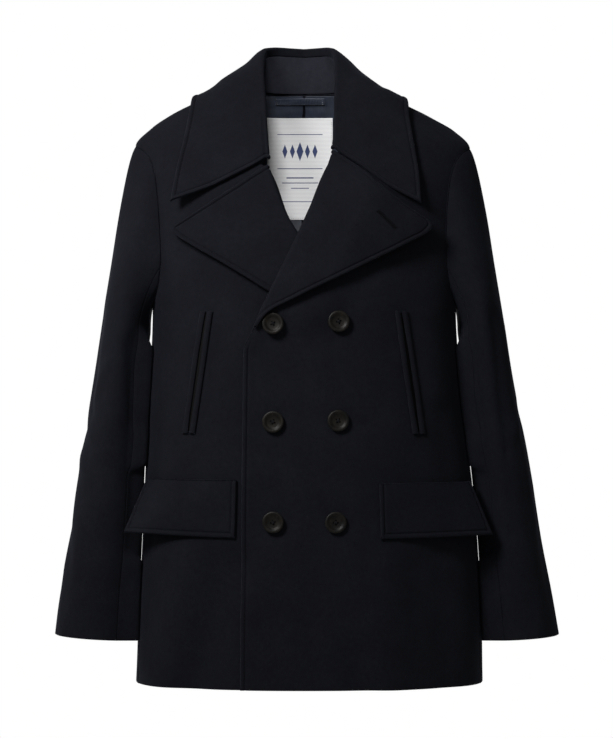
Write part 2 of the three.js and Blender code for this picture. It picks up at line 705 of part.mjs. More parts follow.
function collarFall() {
  const points = collarStations.map((station) => {
    const { fold, edge, out, up } = collarFrame(station);
    const place = (right, rise) => fold.clone().addScaledVector(out, right).addScaledVector(up, rise);
    const lean = out.clone().multiplyScalar(0.2).addScaledVector(up, -1).normalize();
    const reach = edge.clone().sub(fold);
    const line = [
      place(-STAND_FACE, -foldDepth(station)),
      place(-STAND_FACE, -3.2),
      place(-2.1, -0.9),
      place(0, 0),
      place(2.6, -0.5),
    ];
    const from = line[line.length - 1];
    const leave = out.clone().multiplyScalar(reach.length() * 0.55);
    leave.addScaledVector(up, -reach.length() * 0.12);
    const arrive = reach.clone().multiplyScalar(0.8).addScaledVector(lean, reach.length() * 0.28);
    for (const share of steps(FALL_ROWS).slice(1)) {
      const [square, cube] = [share ** 2, share ** 3];
      const at = from.clone().multiplyScalar(2 * cube - 3 * square + 1)
        .addScaledVector(edge, 3 * square - 2 * cube)
        .addScaledVector(leave, cube - 2 * square + share)
        .addScaledVector(arrive, cube - square);
      line.push(clearOfBody(at, FALL_CLEARANCE + FALL_PROUD * share));
    }
    return line;
  });
  const { outer, inner } = wallOf(facing(points, -1), FALL_WALL);
  return add('collar_fall', wall(outer, inner), 'wool');
}

// The neck seam's place at a station: along the front edges, then round the back of the neck.
function neckSeam(station) {
  const side = station < 0 ? 'right' : 'left';
  const sign = station < 0 ? -1 : 1;
  const away = Math.abs(station);
  const turnBack = 0.5;
  if (away <= turnBack) {
    const turn = Math.PI - sign * (Math.PI / 2) * (away / turnBack);
    return bodyPlace(turn, NECK_END + SEAM_GAP).at;
  }
  const z = mix(NECK_END, side === 'left' ? -84 : -98, (away - turnBack) / (1 - turnBack));
  const edge = side === 'left' ? LEFT_FRONT_EDGE : RIGHT_FRONT_EDGE;
  const x = lookUp(edge, 'x', z, 'z') - sign * (WOOL + 0.8);
  return frontPlace(x, z, frontLift(side, x, z)).at;
}

const STAND_STATIONS = 24;
const STAND_END = 0.86;
const STAND_BOW = 1.2;

function collarStand() {
  const stations = steps(STAND_STATIONS).map((share) => mix(-STAND_END, STAND_END, share));
  const outer = [];
  const inner = [];
  for (const station of stations) {
    const { fold, out, up } = collarFrame(station);
    const top = fold.clone().addScaledVector(out, -STAND_FACE)
      .addScaledVector(up, -foldDepth(station) - SEAM_GAP);
    const foot = neckSeam(station);
    foot.z += SEAM_GAP;
    const line = steps(2).map((share) => foot.clone().lerp(top, share)
      .addScaledVector(out, -STAND_BOW * Math.sin(Math.PI * share)));
    outer.push(line);
    inner.push(line.map((point) => point.clone().addScaledVector(out, WOOL)));
  }
  return add('collar_stand', wall(outer, inner), 'facing');
}

// One of the two jets that edge a hand pocket, laid on the front beside the opening.
function jet({ side, topX, topZ, bottomX, bottomZ }, edgeName, direction) {
  const rows = steps(8).map((down) => {
    const x = mix(topX, bottomX, down);
    const z = mix(topZ, bottomZ, down);
    return [0.35, JET_WIDTH / 2, JET_WIDTH].map((inset, index) => {
      const spot = x + direction * inset;
      const crown = index === 1 ? 0.5 : 0;
      const lift = frontLift(side, spot, z) + JET_GAP + JET_WALL + crown;
      return frontPlace(spot, z, lift);
    });
  });
  const { outer, inner } = wallOf(rows, JET_WALL);
  return add(`jet_${side}_${edgeName}`, wall(outer, inner), 'wool');
}

const FLAP_COLUMNS = 9;
const FLAP_ROWS = 4;

// A pocket flap: its top edge is sewn to the front, and it hangs straighter than the body
// curves, so its far corner stands out.
function flap({ side, sign, inner, top, bottom, bottomY, topZ, bottomZ, farZ }) {
  const lay = (x, z) => {
    const lift = frontLift(side, x, z) + FLAP_GAP + FLAP_WALL;
    return frontPlace(x, z, lift).at;
  };
  const low = lay(sign * (inner + 2), bottomZ);
  const near = lay(sign * (inner + 44), bottomZ);
  const far = new THREE.Vector3(sign * bottom, bottomY, farZ);
  const hand = new THREE.Vector3(sign * (bottom - 34), bottomY - 36, farZ);
  const hemLine = new THREE.CubicBezierCurve3(low, near, hand, far);
  const points = steps(FLAP_ROWS).map((down) => steps(FLAP_COLUMNS).map((share) => {
    const upper = lay(sign * mix(inner, top, share), topZ);
    return upper.lerp(hemLine.getPoint(share), down);
  }));
  const grid = facing(points, -sign);
  const { outer, inner: hidden } = wallOf(grid, FLAP_WALL);
  return add(`flap_${side}`, wall(outer, hidden), 'wool');
}

// A rimmed button, turned about its own axis. Its thread shank meets the cloth below it.
function button({ name, x, z }, cloth) {
  const profile = [
    [0, 0], [SHANK_RADIUS, 0], [SHANK_RADIUS, SHANK], [11.5, SHANK], [BUTTON_RADIUS, SHANK + 1.4],
    [BUTTON_RADIUS, SHANK + 2.8], [12.3, SHANK + BUTTON_HEIGHT], [9.8, SHANK + 3.6],
    [7.8, SHANK + 2.6], [0, SHANK + 2.4],
  ].map(([radius, height]) => new THREE.Vector2(radius, height));
  const geometry = new THREE.LatheGeometry(profile, BUTTON_SIDES);
  const mesh = add(name, geometry, 'horn');
  const ray = new THREE.Raycaster(new THREE.Vector3(x, -400, z), new THREE.Vector3(0, 1, 0));
  const { point: seat, face } = ray.intersectObject(cloth)[0];
  const out = face.normal.clone();
  mesh.quaternion.setFromUnitVectors(new THREE.Vector3(0, 1, 0), out);
  mesh.position.copy(seat.addScaledVector(out, SHANK_SEAT));
}

// A sheet laid against the inside of the back, at a depth in from the skin.
function insideBack(name, { left, right, top, bottom }, rows, columns, depth, thickness, finish) {
  const grid = steps(rows).map((down) => {
    const z = mix(top, bottom, down);
    return steps(columns).map((share) => {
      const reach = ringAt(z, 'half') * 0.86;
      const x = THREE.MathUtils.clamp(mix(right, left, share), -reach, reach);
      const { at, out } = bodyPlace(turnAt(x, z, 1), z, -depth);
      return { at, out: out.negate() };
    });
  });
  const { outer, inner } = wallOf(grid, -thickness);
  return add(name, wall(outer, inner), finish);
}

const lappingFront = front('left');
front('right');
back();
sleeve('left');
sleeve('right');
collarFall();
collarStand();
lapel('left');
lapel('right');
for (const pocket of HAND_POCKETS) {
  const outwards = Math.sign(pocket.topX);
  jet(pocket, 'inner', -outwards);
  jet(pocket, 'outer', outwards);
}
FLAPS.forEach(flap);
BUTTONS.forEach((placed) => button(placed, lappingFront));

const liningDepth = WOOL + LINING_GAP;
const labelDepth = liningDepth + LINING_WALL + LABEL_GAP;
insideBack('lining_back', LINING, 9, 8, liningDepth, LINING_WALL, 'lining');
insideBack('label', LABEL, 5, 4, labelDepth, LABEL_WALL, 'label');
insideBack('hanger_loop', LOOP, 2, 8, labelDepth + LOOP.stand, LOOP.wall, 'lining');

export default group;
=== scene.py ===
"""A men's double-breasted pea coat of navy wool melton, filled out as if worn, with nobody in it.

Shapes are worked out in millimetres in the model's own frame: +Z is up, the fronts face -Y, the
wearer's left is +X, and the origin lies between the neck ends of the two shoulder seams. They
become metres when a piece is made.
"""

from __future__ import annotations

import logging
import math
from dataclasses import dataclass, field
from enum import Enum
from typing import Any, Callable, Sequence

import bmesh
import bpy
import numpy as np
from mathutils import Matrix, Vector

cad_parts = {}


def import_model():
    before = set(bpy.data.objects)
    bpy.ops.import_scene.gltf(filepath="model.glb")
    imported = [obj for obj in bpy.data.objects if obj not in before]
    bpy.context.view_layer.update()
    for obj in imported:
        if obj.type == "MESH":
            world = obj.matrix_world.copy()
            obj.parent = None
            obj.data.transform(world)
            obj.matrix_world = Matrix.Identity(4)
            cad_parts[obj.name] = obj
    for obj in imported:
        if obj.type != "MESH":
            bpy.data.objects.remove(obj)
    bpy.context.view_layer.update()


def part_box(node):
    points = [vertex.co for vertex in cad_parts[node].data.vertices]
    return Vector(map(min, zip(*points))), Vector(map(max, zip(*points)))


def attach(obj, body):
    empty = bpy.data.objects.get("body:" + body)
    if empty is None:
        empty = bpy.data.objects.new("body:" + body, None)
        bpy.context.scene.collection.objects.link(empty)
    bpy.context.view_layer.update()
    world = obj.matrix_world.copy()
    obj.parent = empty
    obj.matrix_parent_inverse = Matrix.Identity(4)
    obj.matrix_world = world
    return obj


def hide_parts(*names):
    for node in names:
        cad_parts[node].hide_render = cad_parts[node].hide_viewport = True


log = logging.getLogger("pea_coat")

Finish = bpy.types.Material
Socket = bpy.types.NodeSocket

METRE = 0.001

WOOL = 3.0
FALL_WALL = 3.6
LAPEL_WALL = 4.0
FLAP_WALL = 3.0
JET_WALL = 1.8
LINING_WALL = 1.2
LABEL_WALL = 1.0
SEAM_GAP = 0.3

HEM = -770.0
ARMPIT = -285.0
SHOULDER = -76.0
NECK_END = -3.0
BREAK = -330.0
ROLL_RADIUS = 5.0

SEAM_ROUND = 0.7
EDGE_ROUND = 1.4


class Side(Enum):
    """A side of the wearer."""

    LEFT = 1
    RIGHT = -1

    @property
    def word(self) -> str:
        """The side's name in the model's nodes."""
        return self.name.lower()


class Face(Enum):
    """The front or the back of the body."""

    FRONT = -1
    BACK = 1


class Slot(Enum):
    """The material slots of the part's record."""

    MELTON = "melton"
    LINING = "lining"
    LABEL = "label"
    HORN = "horn"


class Held(Enum):
    """How a piece of cloth is held on this coat."""

    HUNG = "hung"
    FOLDED = "folded"
    LAID = "laid"


def smoothstep(value: np.ndarray | float, low: float, high: float) -> np.ndarray:
    """Rises smoothly from 0 at low to 1 at high."""
    share = np.clip((np.asarray(value, float) - low) / (high - low), 0, 1)
    return share * share * (3 - 2 * share)


def unit(vectors: np.ndarray) -> np.ndarray:
    """Scales vectors to a length of 1."""
    length = np.linalg.norm(vectors, axis=-1, keepdims=True)
    return vectors / np.where(length == 0, 1, length)


def eased(start: Any, end: Any, leave: Any, arrive: Any, share: Any) -> Any:
    """A smooth curve between two places.

    Args:
        start: The first place.
        end: The last place.
        leave: The way and speed in which the curve leaves the first place.
        arrive: The way and speed in which it arrives.
        share: How far along the curve, from 0 to 1.

    Returns:
        The place on the curve.
    """
    square, cube = share**2, share**3
    return (
        start * (2 * cube - 3 * square + 1)
        + end * (3 * square - 2 * cube)
        + leave * (cube - 2 * square + share)
        + arrive * (cube - square)
    )


class Table:
    """Rows of a measured shape, read smoothly between them without overshooting any row."""

    def __init__(self, columns: str, rows: Sequence[Sequence[float]], key: str = "") -> None:
        """Reads the rows.

        Args:
            columns: The columns' names, parted by spaces.
            rows: The values, in the order of the columns.
            key: The column that gives the place of a row, or none for its number.
        """
        values = np.array(rows, float)
        if key and values[-1, columns.split().index(key)] < values[0, columns.split().index(key)]:
            values = values[::-1]
        self.values = dict(zip(columns.split(), values.T))
        self.places = self.values[key] if key else np.arange(len(rows), dtype=float)

    def at(self, column: str, place: np.ndarray | float) -> np.ndarray:
        """The value of a column at each place.

        Args:
            column: The column's name.
            place: Places along the key column.

        Returns:
            The values, in the shape of the places.
        """
        height = self.values[column]
        slope = np.diff(height) / np.diff(self.places)
        tangent = np.empty(len(height))
        tangent[0], tangent[-1] = slope[0], slope[-1]
        product = slope[:-1] * slope[1:]
        total = slope[:-1] + slope[1:]
        tangent[1:-1] = np.where(product > 0, 2 * product / np.where(total == 0, 1, total), 0)
        place = np.asarray(place, float)
        row = np.clip(np.searchsorted(self.places, place, side="right") - 1, 0, len(height) - 2)
        span = self.places[row + 1] - self.places[row]
        share = np.clip((place - self.places[row]) / span, 0, 1)
        return eased(height[row], height[row + 1], tangent[row] * span, tangent[row + 1] * span, share)


@dataclass(frozen=True)
class Crease:
    """A soft ridge, or below zero a hollow, laid along a line on the cloth."""

    start: tuple[float, float]
    end: tuple[float, float]
    height: float
    spread: float

    def lift(self, across: np.ndarray, along: np.ndarray) -> np.ndarray:
        """The height that the crease adds at each place.

        Args:
            across: The places' first coordinate, in millimetres.
            along: Their second coordinate.

        Returns:
            Heights in millimetres.
        """
        run = np.array(self.end) - np.array(self.start)
        reach = (across - self.start[0]) * run[0] + (along - self.start[1]) * run[1]
        share = np.clip(reach / (run @ run), 0, 1)
        away = np.hypot(across - self.start[0] - run[0] * share, along - self.start[1] - run[1] * share)
        return self.height * np.exp(-((away / self.spread) ** 2))


def creases(rows: Sequence[tuple[float, float, float, float, float, float]]) -> list[Crease]:
    """Creases from rows of start, end, height and spread."""
    return [Crease((a, b), (c, d), height, spread) for a, b, c, d, height, spread in rows]


BODY_RINGS = Table(
    "z half shift front back power",
    [
        (0, 72, 0, 16, 60, 2),
        (-9, 110, 0, 23, 66, 2),
        (-22.5, 148, 0, 33, 74, 2),
        (-36.5, 174, -1, 41, 81, 2),
        (-52.5, 197, -1, 51, 87, 2),
        (-76, 217, -1.5, 62, 94, 2.02),
        (-95, 213, -1.5, 71, 98, 2.1),
        (-130, 206, -1.5, 87, 104, 2.2),
        (-170, 202, -1.5, 98, 108, 2.3),
        (-215, 200, -1, 107, 110, 2.4),
        (-285, 197, 0, 117, 110, 2.45),
        (-327, 198.2, 0.3, 119, 110, 2.45),
        (-405, 203, 1.5, 122, 110, 2.45),
        (-475, 209.7, 4.3, 123.5, 112, 2.45),
        (-588, 217.3, 7.7, 126.5, 117, 2.45),
        (-666, 221.5, 8, 129, 121, 2.45),
        (-770, 224.7, 7.3, 131, 125, 2.45),
    ],
    key="z",
)

ARMHOLE = Table(
    "z front back",
    [
        (-76, 1, 1),
        (-84, 0.95, 0.955),
        (-95, 0.925, 0.94),
        (-112, 0.914, 0.93),
        (-130, 0.915, 0.928),
        (-170, 0.916, 0.93),
        (-215, 0.915, 0.932),
        (-250, 0.937, 0.95),
        (-269, 0.964, 0.972),
        (-279, 0.986, 0.989),
        (-285, 1, 1),
    ],
    key="z",
)

FRONT_CREASES = creases(
    [
        (-34, -320, -32, -560, -3.5, 26),
        (-150, -600, -178, -770, 5, 26),
        (-100, -620, -142, -770, -6, 27),
        (92, -620, 112, -770, 5, 34),
        (68, -730, 78, -770, -5, 24),
        (172, -600, 182, -770, -4, 20),
        (158, -300, 166, -400, 3, 18),
        (-176, -290, -168, -400, -3, 16),
    ]
)

BACK_CREASES = creases(
    [
        (-95, -420, -125, -770, 6, 34),
        (15, -520, 25, -770, -5, 36),
        (110, -450, 135, -770, 6, 32),
        (-150, -210, -120, -330, -4, 22),
        (152, -220, 122, -340, -4, 22),
    ]
)


@dataclass
class BodyForm:
    """The body's outer skin, as level rounded rings that the fronts and the back lie on."""

    finer_front: list[Crease] = field(
        default_factory=lambda: creases(
            [
                (-62, -345, -58, -470, -1.5, 11),
                (-20, -350, -14, -520, 1.3, 12),
                (-52, -520, -88, -655, -1.8, 15),
                (-118, -470, -108, -560, 1.2, 14),
                (-64, -640, -72, -740, 1.6, 16),
                (10, -600, 4, -740, -1.4, 18),
                (60, -470, 66, -600, 1.2, 16),
                (110, -330, 96, -430, -1.3, 15),
                (140, -620, 150, -740, -1.8, 17),
                (176, -420, 186, -560, -1.6, 13),
                (-186, -420, -196, -560, -1.4, 12),
                (-92, -300, -96, -380, 1.1, 13),
            ]
        )
    )
    finer_back: list[Crease] = field(
        default_factory=lambda: creases(
            [
                (-60, -150, -100, -260, -1.6, 14),
                (70, -160, 104, -270, -1.6, 14),
                (-40, -540, -52, -700, 1.8, 17),
                (72, -560, 84, -730, -1.9, 16),
                (-160, -480, -172, -640, -2.0, 16),
                (164, -500, 178, -660, 1.7, 15),
                (-20, -300, -14, -430, 1.2, 20),
                (-90, -300, -50, -330, 1.2, 12),
            ]
        )
    )

    def ring(self, column: str, z: np.ndarray | float) -> np.ndarray:
        """A column of the rings at each height."""
        return BODY_RINGS.at(column, z)

    def level(self, x: np.ndarray, y: np.ndarray, z: np.ndarray) -> np.ndarray:
        """Zero on the skin, above zero outside it."""
        power = self.ring("power", z)
        across = np.abs(x - self.ring("shift", z)) / self.ring("half", z)
        deep = np.abs(y) / np.where(y < 0, self.ring("front", z), self.ring("back", z))
        return across**power + deep**power - 1

    def slope(self, at: np.ndarray) -> np.ndarray:
        """How the level rises along each axis."""
        step = 0.05
        rise = []
        for axis in range(3):
            move = np.zeros(3)
            move[axis] = step
            ahead = at + move
            behind = at - move
            change = self.level(*np.moveaxis(ahead, -1, 0)) - self.level(*np.moveaxis(behind, -1, 0))
            rise.append(change / (2 * step))
        return np.stack(rise, axis=-1)

    def crease_height(self, x: np.ndarray, z: np.ndarray, ahead: np.ndarray) -> np.ndarray:
        """How far the creases lift the skin, with the slow unevenness of the cloth."""
        front = sum(crease.lift(x, z) for crease in FRONT_CREASES + self.finer_front)
        back = sum(crease.lift(x, z) for crease in BACK_CREASES + self.finer_back)
        uneven = 0.35 * np.sin(x / 23 + z / 61) * np.sin(z / 37 - x / 71 + 1.3)
        return np.where(ahead, front, back) + uneven

    def place(
        self, turn: np.ndarray, z: np.ndarray, lift: np.ndarray | float = 0
    ) -> tuple[np.ndarray, np.ndarray]:
        """Places on the skin.

        Args:
            turn: The turn from the middle of the front towards the wearer's left.
            z: The height.
            lift: How far each place is moved out.

        Returns:
            The places and the directions that face out.
        """
        turn, z, lift = np.broadcast_arrays(turn, z, lift)
        power = self.ring("power", z)
        across, ahead = np.sin(turn), np.cos(turn)
        size = (np.abs(across) ** power + np.abs(ahead) ** power) ** (1 / power)
        depth = np.where(ahead > 0, self.ring("front", z), self.ring("back", z))
        x = self.ring("shift", z) + self.ring("half", z) * across / size
        at = np.stack([x, -depth * ahead / size, z.astype(float)], axis=-1)
        out = unit(self.slope(at))
        return at + out * (lift + self.crease_height(x, z, ahead > 0))[..., None], out

    def turn_of_share(self, share: np.ndarray, z: np.ndarray) -> np.ndarray:
        """The turn, up to a quarter, that reaches a share of the half width."""
        power = self.ring("power", z)
        held = np.clip(share, 0, 1)
        return np.where(share >= 1, math.pi / 2, np.arctan2(held, (1 - held**power) ** (1 / power)))

    def turn_at(self, x: np.ndarray, z: np.ndarray, face: Face = Face.FRONT) -> np.ndarray:
        """The turn at which the front or the back has a given X."""
        across = (x - self.ring("shift", z)) / self.ring("half", z)
        turn = np.sign(across) * self.turn_of_share(np.abs(across), z)
        return turn if face is Face.FRONT else math.pi - turn

    def front(self, x: np.ndarray, z: np.ndarray, lift: np.ndarray | float = 0) -> np.ndarray:
        """Places on the front."""
        return self.place(self.turn_at(x, z), z, lift)[0]

    def seam_turn(self, z: np.ndarray, face: Face) -> np.ndarray:
        """The side seam's turn, a little forward low down, and the armhole's above the armpit."""
        forward = math.radians(16) * smoothstep(-z, -ARMPIT, 560)
        share = ARMHOLE.at("front" if face is Face.FRONT else "back", z)
        armhole = self.turn_of_share(share, z)
        armhole = armhole if face is Face.FRONT else math.pi - armhole
        turn = np.where(z < ARMPIT, math.pi / 2 - forward, armhole)
        return np.where((z > SHOULDER) | (z == ARMPIT), math.pi / 2, turn)

    def clear(self, at: np.ndarray, distance: np.ndarray | float) -> np.ndarray:
        """Moves places out until they clear the skin by a distance, fading out above the neck."""
        for _ in range(4):
            beside = 1 - smoothstep(at[..., 2], -18, NECK_END)
            slope = self.slope(at)
            steepness = np.linalg.norm(slope, axis=-1)
            away = self.level(at[..., 0], at[..., 1], at[..., 2]) / steepness
            push = np.where(away < distance, beside * (distance - away), 0)
            at = at + slope / steepness[..., None] * push[..., None]
        return at


BODY = BodyForm()


SHOULDER_DROP = 7.5
SHOULDER_EASING = 0.55
FOLD_RISE = 4.8
FALL_RISE = 11
FALL_MIDDLE = 105
FALL_INNER_SPREAD = 36
FALL_OUTER_SPREAD = 20


def settle(points: np.ndarray) -> np.ndarray:
    """Sets the wearer's left shoulder a little lower, as worn, and the collar's fold and fall higher.

    Args:
        points: Places in millimetres.

    Returns:
        The places as they lie at last.
    """
    x, _, z = np.moveaxis(points, -1, 0)
    easing = 1 - SHOULDER_EASING * smoothstep(x, 150, 215)
    low = SHOULDER_DROP * smoothstep(x, 62, 118) * easing * smoothstep(z, -190, -90)
    high = FOLD_RISE * smoothstep(z, 8, 50) * (1 - smoothstep(np.abs(x), 60, 80))
    away = np.abs(x) - FALL_MIDDLE
    spread = np.where(away < 0, FALL_INNER_SPREAD, FALL_OUTER_SPREAD)
    full = FALL_RISE * np.exp(-((away / spread) ** 2)) * smoothstep(z, -60, -5)
    points = points.copy()
    points[..., 2] += high + full - low
    return points


LEFT_FRONT_EDGE = Table(
    "z x",
    [
        (-770, -80),
        (-588, -79),
        (-444, -77.5),
        (-345, -76),
        (-318, -65),
        (-288, -52),
        (-175, 2),
        (-97, 34),
        (-84, 46),
        (-60, 56),
        (-32, 65),
        (-3, 71),
    ],
    key="z",
)
RIGHT_FRONT_EDGE = Table(
    "z x",
    [
        (-770, 80),
        (-588, 79),
        (-444, 78),
        (-345, 76),
        (-318, 66),
        (-288, 50),
        (-235, 21),
        (-200, -2),
        (-175, -18),
        (-112, -43),
        (-97, -61),
        (-70, -63),
        (-32, -67),
        (-3, -71),
    ],
    key="z",
)


def front_lift(side: Side, x: np.ndarray, z: np.ndarray) -> np.ndarray:
    """How far the lapping front stands off the other one, and over the lapel beneath it.

    Args:
        side: The front's side.
        x: Places across.
        z: Heights.

    Returns:
        Lifts in millimetres, zero on the wearer's right.
    """
    if side is Side.RIGHT:
        return np.zeros(np.broadcast(x, z).shape)
    lap = 5 * (1 - smoothstep(x, 90, 150)) * (1 - smoothstep(z, -200, -100))
    from_roll = np.abs(x - LEFT_FRONT_EDGE.at("x", z))
    over_lapel = smoothstep(z, -335, -290) * (1 - smoothstep(z, -150, -100))
    return lap + 8 * over_lapel * (1 - smoothstep(from_roll, 62, 120))


def normals(points: np.ndarray, sign: int) -> np.ndarray:
    """The direction that faces out at each point of a grid, from its neighbours."""
    along = np.gradient(points, axis=1)
    down = np.gradient(points, axis=0)
    return unit(np.cross(along, down)) * sign


def lengths(points: np.ndarray, axis: int) -> np.ndarray:
    """How far each point of a grid lies along its own row or column."""
    run = np.linalg.norm(np.diff(points, axis=axis), axis=-1)
    gone = np.cumsum(run, axis=axis)
    start = np.zeros_like(np.take(gone, [0], axis=axis))
    return np.concatenate([start, gone], axis=axis)


def stops(length: float, count: int, first: Sequence[float], last: Sequence[float]) -> np.ndarray:
    """Places along a line, close together near its worked edges and even between them.

    Args:
        length: The line's length.
        count: How many even steps lie between the edges.
        first: Insets from its start.
        last: Insets from its end.

    Returns:
        Rising places from 0 to the length.
    """
    widest = (first[-1] if first else 0) + (last[-1] if last else 0)
    squeeze = min(1.0, 0.7 * length / widest) if widest else 1.0
    head = np.array(first or [0.0]) * squeeze
    tail = length - np.array(list(last)[::-1] or [0.0]) * squeeze
    return np.concatenate([head, np.linspace(head[-1], tail[0], count + 1)[1:-1], tail])


def regrade(
    points: np.ndarray,
    count: int,
    axis: int,
    first: Sequence[float] = (),
    last: Sequence[float] = (),
) -> np.ndarray:
    """Lays a fine grid's points anew along its rows or columns.

    Args:
        points: The grid.
        count: Even steps between the edges.
        axis: 0 for the columns, 1 for the rows.
        first: Insets in millimetres from the first edge.
        last: Insets from the last edge.

    Returns:
        The grid with its new points.
    """
    lines = np.moveaxis(points, axis, 0)
    gone = lengths(lines, 0)
    laid = []
    for index in range(lines.shape[1]):
        at = stops(gone[-1, index], count, first, last)
        laid.append(np.stack([np.interp(at, gone[:, index], lines[:, index, k]) for k in range(3)], -1))
    return np.moveaxis(np.stack(laid, axis=1), 0, axis)


EDGE_INSETS = (0, 0.8, 1.8, 3.2, 4.6, 5.4, 5.9, 6.3, 6.7, 7.1, 7.6, 8.6, 10.5, 13.5)
GROOVE_INSET = 6.5
GROOVE_DEPTH = 1.15
GROOVE_REACH = 1.15
BAND_SWELL = 0.8


def swelled_edge(inset: np.ndarray) -> np.ndarray:
    """The height of an edge stitched in from its side: a soft band, then the sunk seam."""
    groove = -GROOVE_DEPTH * np.exp(-(((inset - GROOVE_INSET) / GROOVE_REACH) ** 2))
    band = BAND_SWELL * np.exp(-(((inset - 3.2) / 2.4) ** 2))
    return groove + band


@dataclass
class Cloth:
    """A cloth panel as two grids of points, its outer and its inner face.

    Attributes:
        points: The outer face.
        sign: Turns the grid's direction so that it faces out.
        wall: The thickness in millimetres.
        rounds: The radius of the rim on the first row, last row, first column and last column.
        inward: Directions from the outer to the inner face, where they aren't the normals.
    """

    points: np.ndarray
    sign: int
    wall: float
    rounds: tuple[float, float, float, float] = (EDGE_ROUND, EDGE_ROUND, EDGE_ROUND, EDGE_ROUND)
    inward: np.ndarray | None = None

    def insets(self, edge: str) -> np.ndarray:
        """How far each point lies from one edge of the grid.

        Args:
            edge: first_row, last_row, first_column or last_column.

        Returns:
            Distances in millimetres.
        """
        axis = 0 if edge.endswith("row") else 1
        gone = lengths(self.points, axis)
        if edge.startswith("first"):
            return gone
        return np.take(gone, [-1], axis=axis) - gone

    def raised(self, height: np.ndarray) -> Cloth:
        """The same panel with its outer face raised by a height at each point."""
        out = normals(self.points, self.sign)
        moved = self.points + out * height[..., None]
        return Cloth(moved, self.sign, self.wall, self.rounds, self.inward)

    def stitched(self, *edges: str, where: np.ndarray | float = 1.0) -> Cloth:
        """The panel with a stitched, swelled band along some of its edges."""
        inset = np.min([self.insets(edge) for edge in edges], axis=0)
        return self.raised(swelled_edge(inset) * where)

    def drawn_back(self, edge: str, gap: float) -> Cloth:
        """The panel with one column edge drawn back from its seam."""
        first, second = (0, 1) if edge == "first_column" else (-1, -2)
        points = self.points.copy()
        step = unit(points[:, second] - points[:, first])
        points[:, first] += step * gap
        return Cloth(points, self.sign, self.wall, self.rounds, self.inward)

    def mesh(self, name: str) -> bpy.types.Mesh:
        """A closed mesh of the panel, with its rims rounded and a map of real lengths.

        Args:
            name: The mesh's name.

        Returns:
            The mesh, in metres.
        """
        outer = self.points
        rows, columns = outer.shape[:2]
        into = -normals(outer, self.sign) if self.inward is None else self.inward
        inner = outer + into * self.wall
        loop = rim_loop(rows, columns)
        border = outer[loop[:, 0], loop[:, 1]]
        depth = into[loop[:, 0], loop[:, 1]]
        side, reach = self.rim_sides(loop)
        faces: list[tuple[int, ...]] = []
        count = rows * columns
        index = np.arange(count).reshape(rows, columns)
        quads = np.stack([index[:-1, :-1], index[:-1, 1:], index[1:, 1:], index[1:, :-1]], -1)
        faces += [tuple(quad) for quad in quads.reshape(-1, 4)]
        faces += [tuple(quad[::-1] + count) for quad in quads.reshape(-1, 4)]
        pulled = outer.copy()
        pulled[loop[:, 0], loop[:, 1]] = border - side * reach[:, None]
        under = inner.copy()
        under[loop[:, 0], loop[:, 1]] -= side * reach[:, None]
        quarter = 1 - math.cos(math.pi / 4)
        rims = []
        turned, straight = (quarter, quarter), (0, 1)
        for (pull, sunk), from_far in ((turned, False), (straight, False), (straight, True), (turned, True)):
            down = reach * sunk
            if from_far:
                down = self.wall - down
            rims.append(border - side * (reach * pull)[:, None] + depth * down[:, None])
        ring = [index[loop[:, 0], loop[:, 1]]]
        ring += [2 * count + step * len(loop) + np.arange(len(loop)) for step in range(len(rims))]
        ring.append(ring[0] + count)
        for upper, lower in zip(ring, ring[1:]):
            ahead = np.roll(upper, -1), np.roll(lower, -1)
            faces += [tuple(q) for q in np.stack([upper, lower, ahead[1], ahead[0]], -1)]
        points = settle(np.concatenate([pulled.reshape(-1, 3), under.reshape(-1, 3), *rims])) * METRE
        across = lengths(outer, 1)
        along = lengths(outer, 0)
        flat = np.stack([across - across.mean(axis=1, keepdims=True), along], -1) * METRE
        edge_flat = flat[loop[:, 0], loop[:, 1]]
        lie = np.concatenate([flat.reshape(-1, 2), flat.reshape(-1, 2)] + [edge_flat] * len(rims))
        return solid_mesh(name, points, faces, lie)

    def rim_sides(self, loop: np.ndarray) -> tuple[np.ndarray, np.ndarray]:
        """Which way each rim point faces within the cloth, and the radius of the rim there."""
        rows, columns = self.points.shape[:2]
        top, bottom, left, right = self.rounds
        side = np.zeros((len(loop), 3))
        reach = np.zeros(len(loop))
        for number, (row, column) in enumerate(loop):
            near: list[float] = []
            for hit, back_row, back_column, radius in (
                (row == 0, 1, column, top),
                (row == rows - 1, rows - 2, column, bottom),
                (column == 0, row, 1, left),
                (column == columns - 1, row, columns - 2, right),
            ):
                if hit:
                    side[number] += unit(self.points[row, column] - self.points[back_row, back_column])
                    near.append(radius)
            reach[number] = min(near)
        return unit(side), reach


def rim_loop(rows: int, columns: int) -> np.ndarray:
    """The row and column of each border point of a grid, once round."""
    loop = [(0, column) for column in range(columns - 1)]
    loop += [(row, columns - 1) for row in range(rows - 1)]
    loop += [(rows - 1, column) for column in range(columns - 1, 0, -1)]
    loop += [(row, 0) for row in range(rows - 1, 0, -1)]
    return np.array(loop)


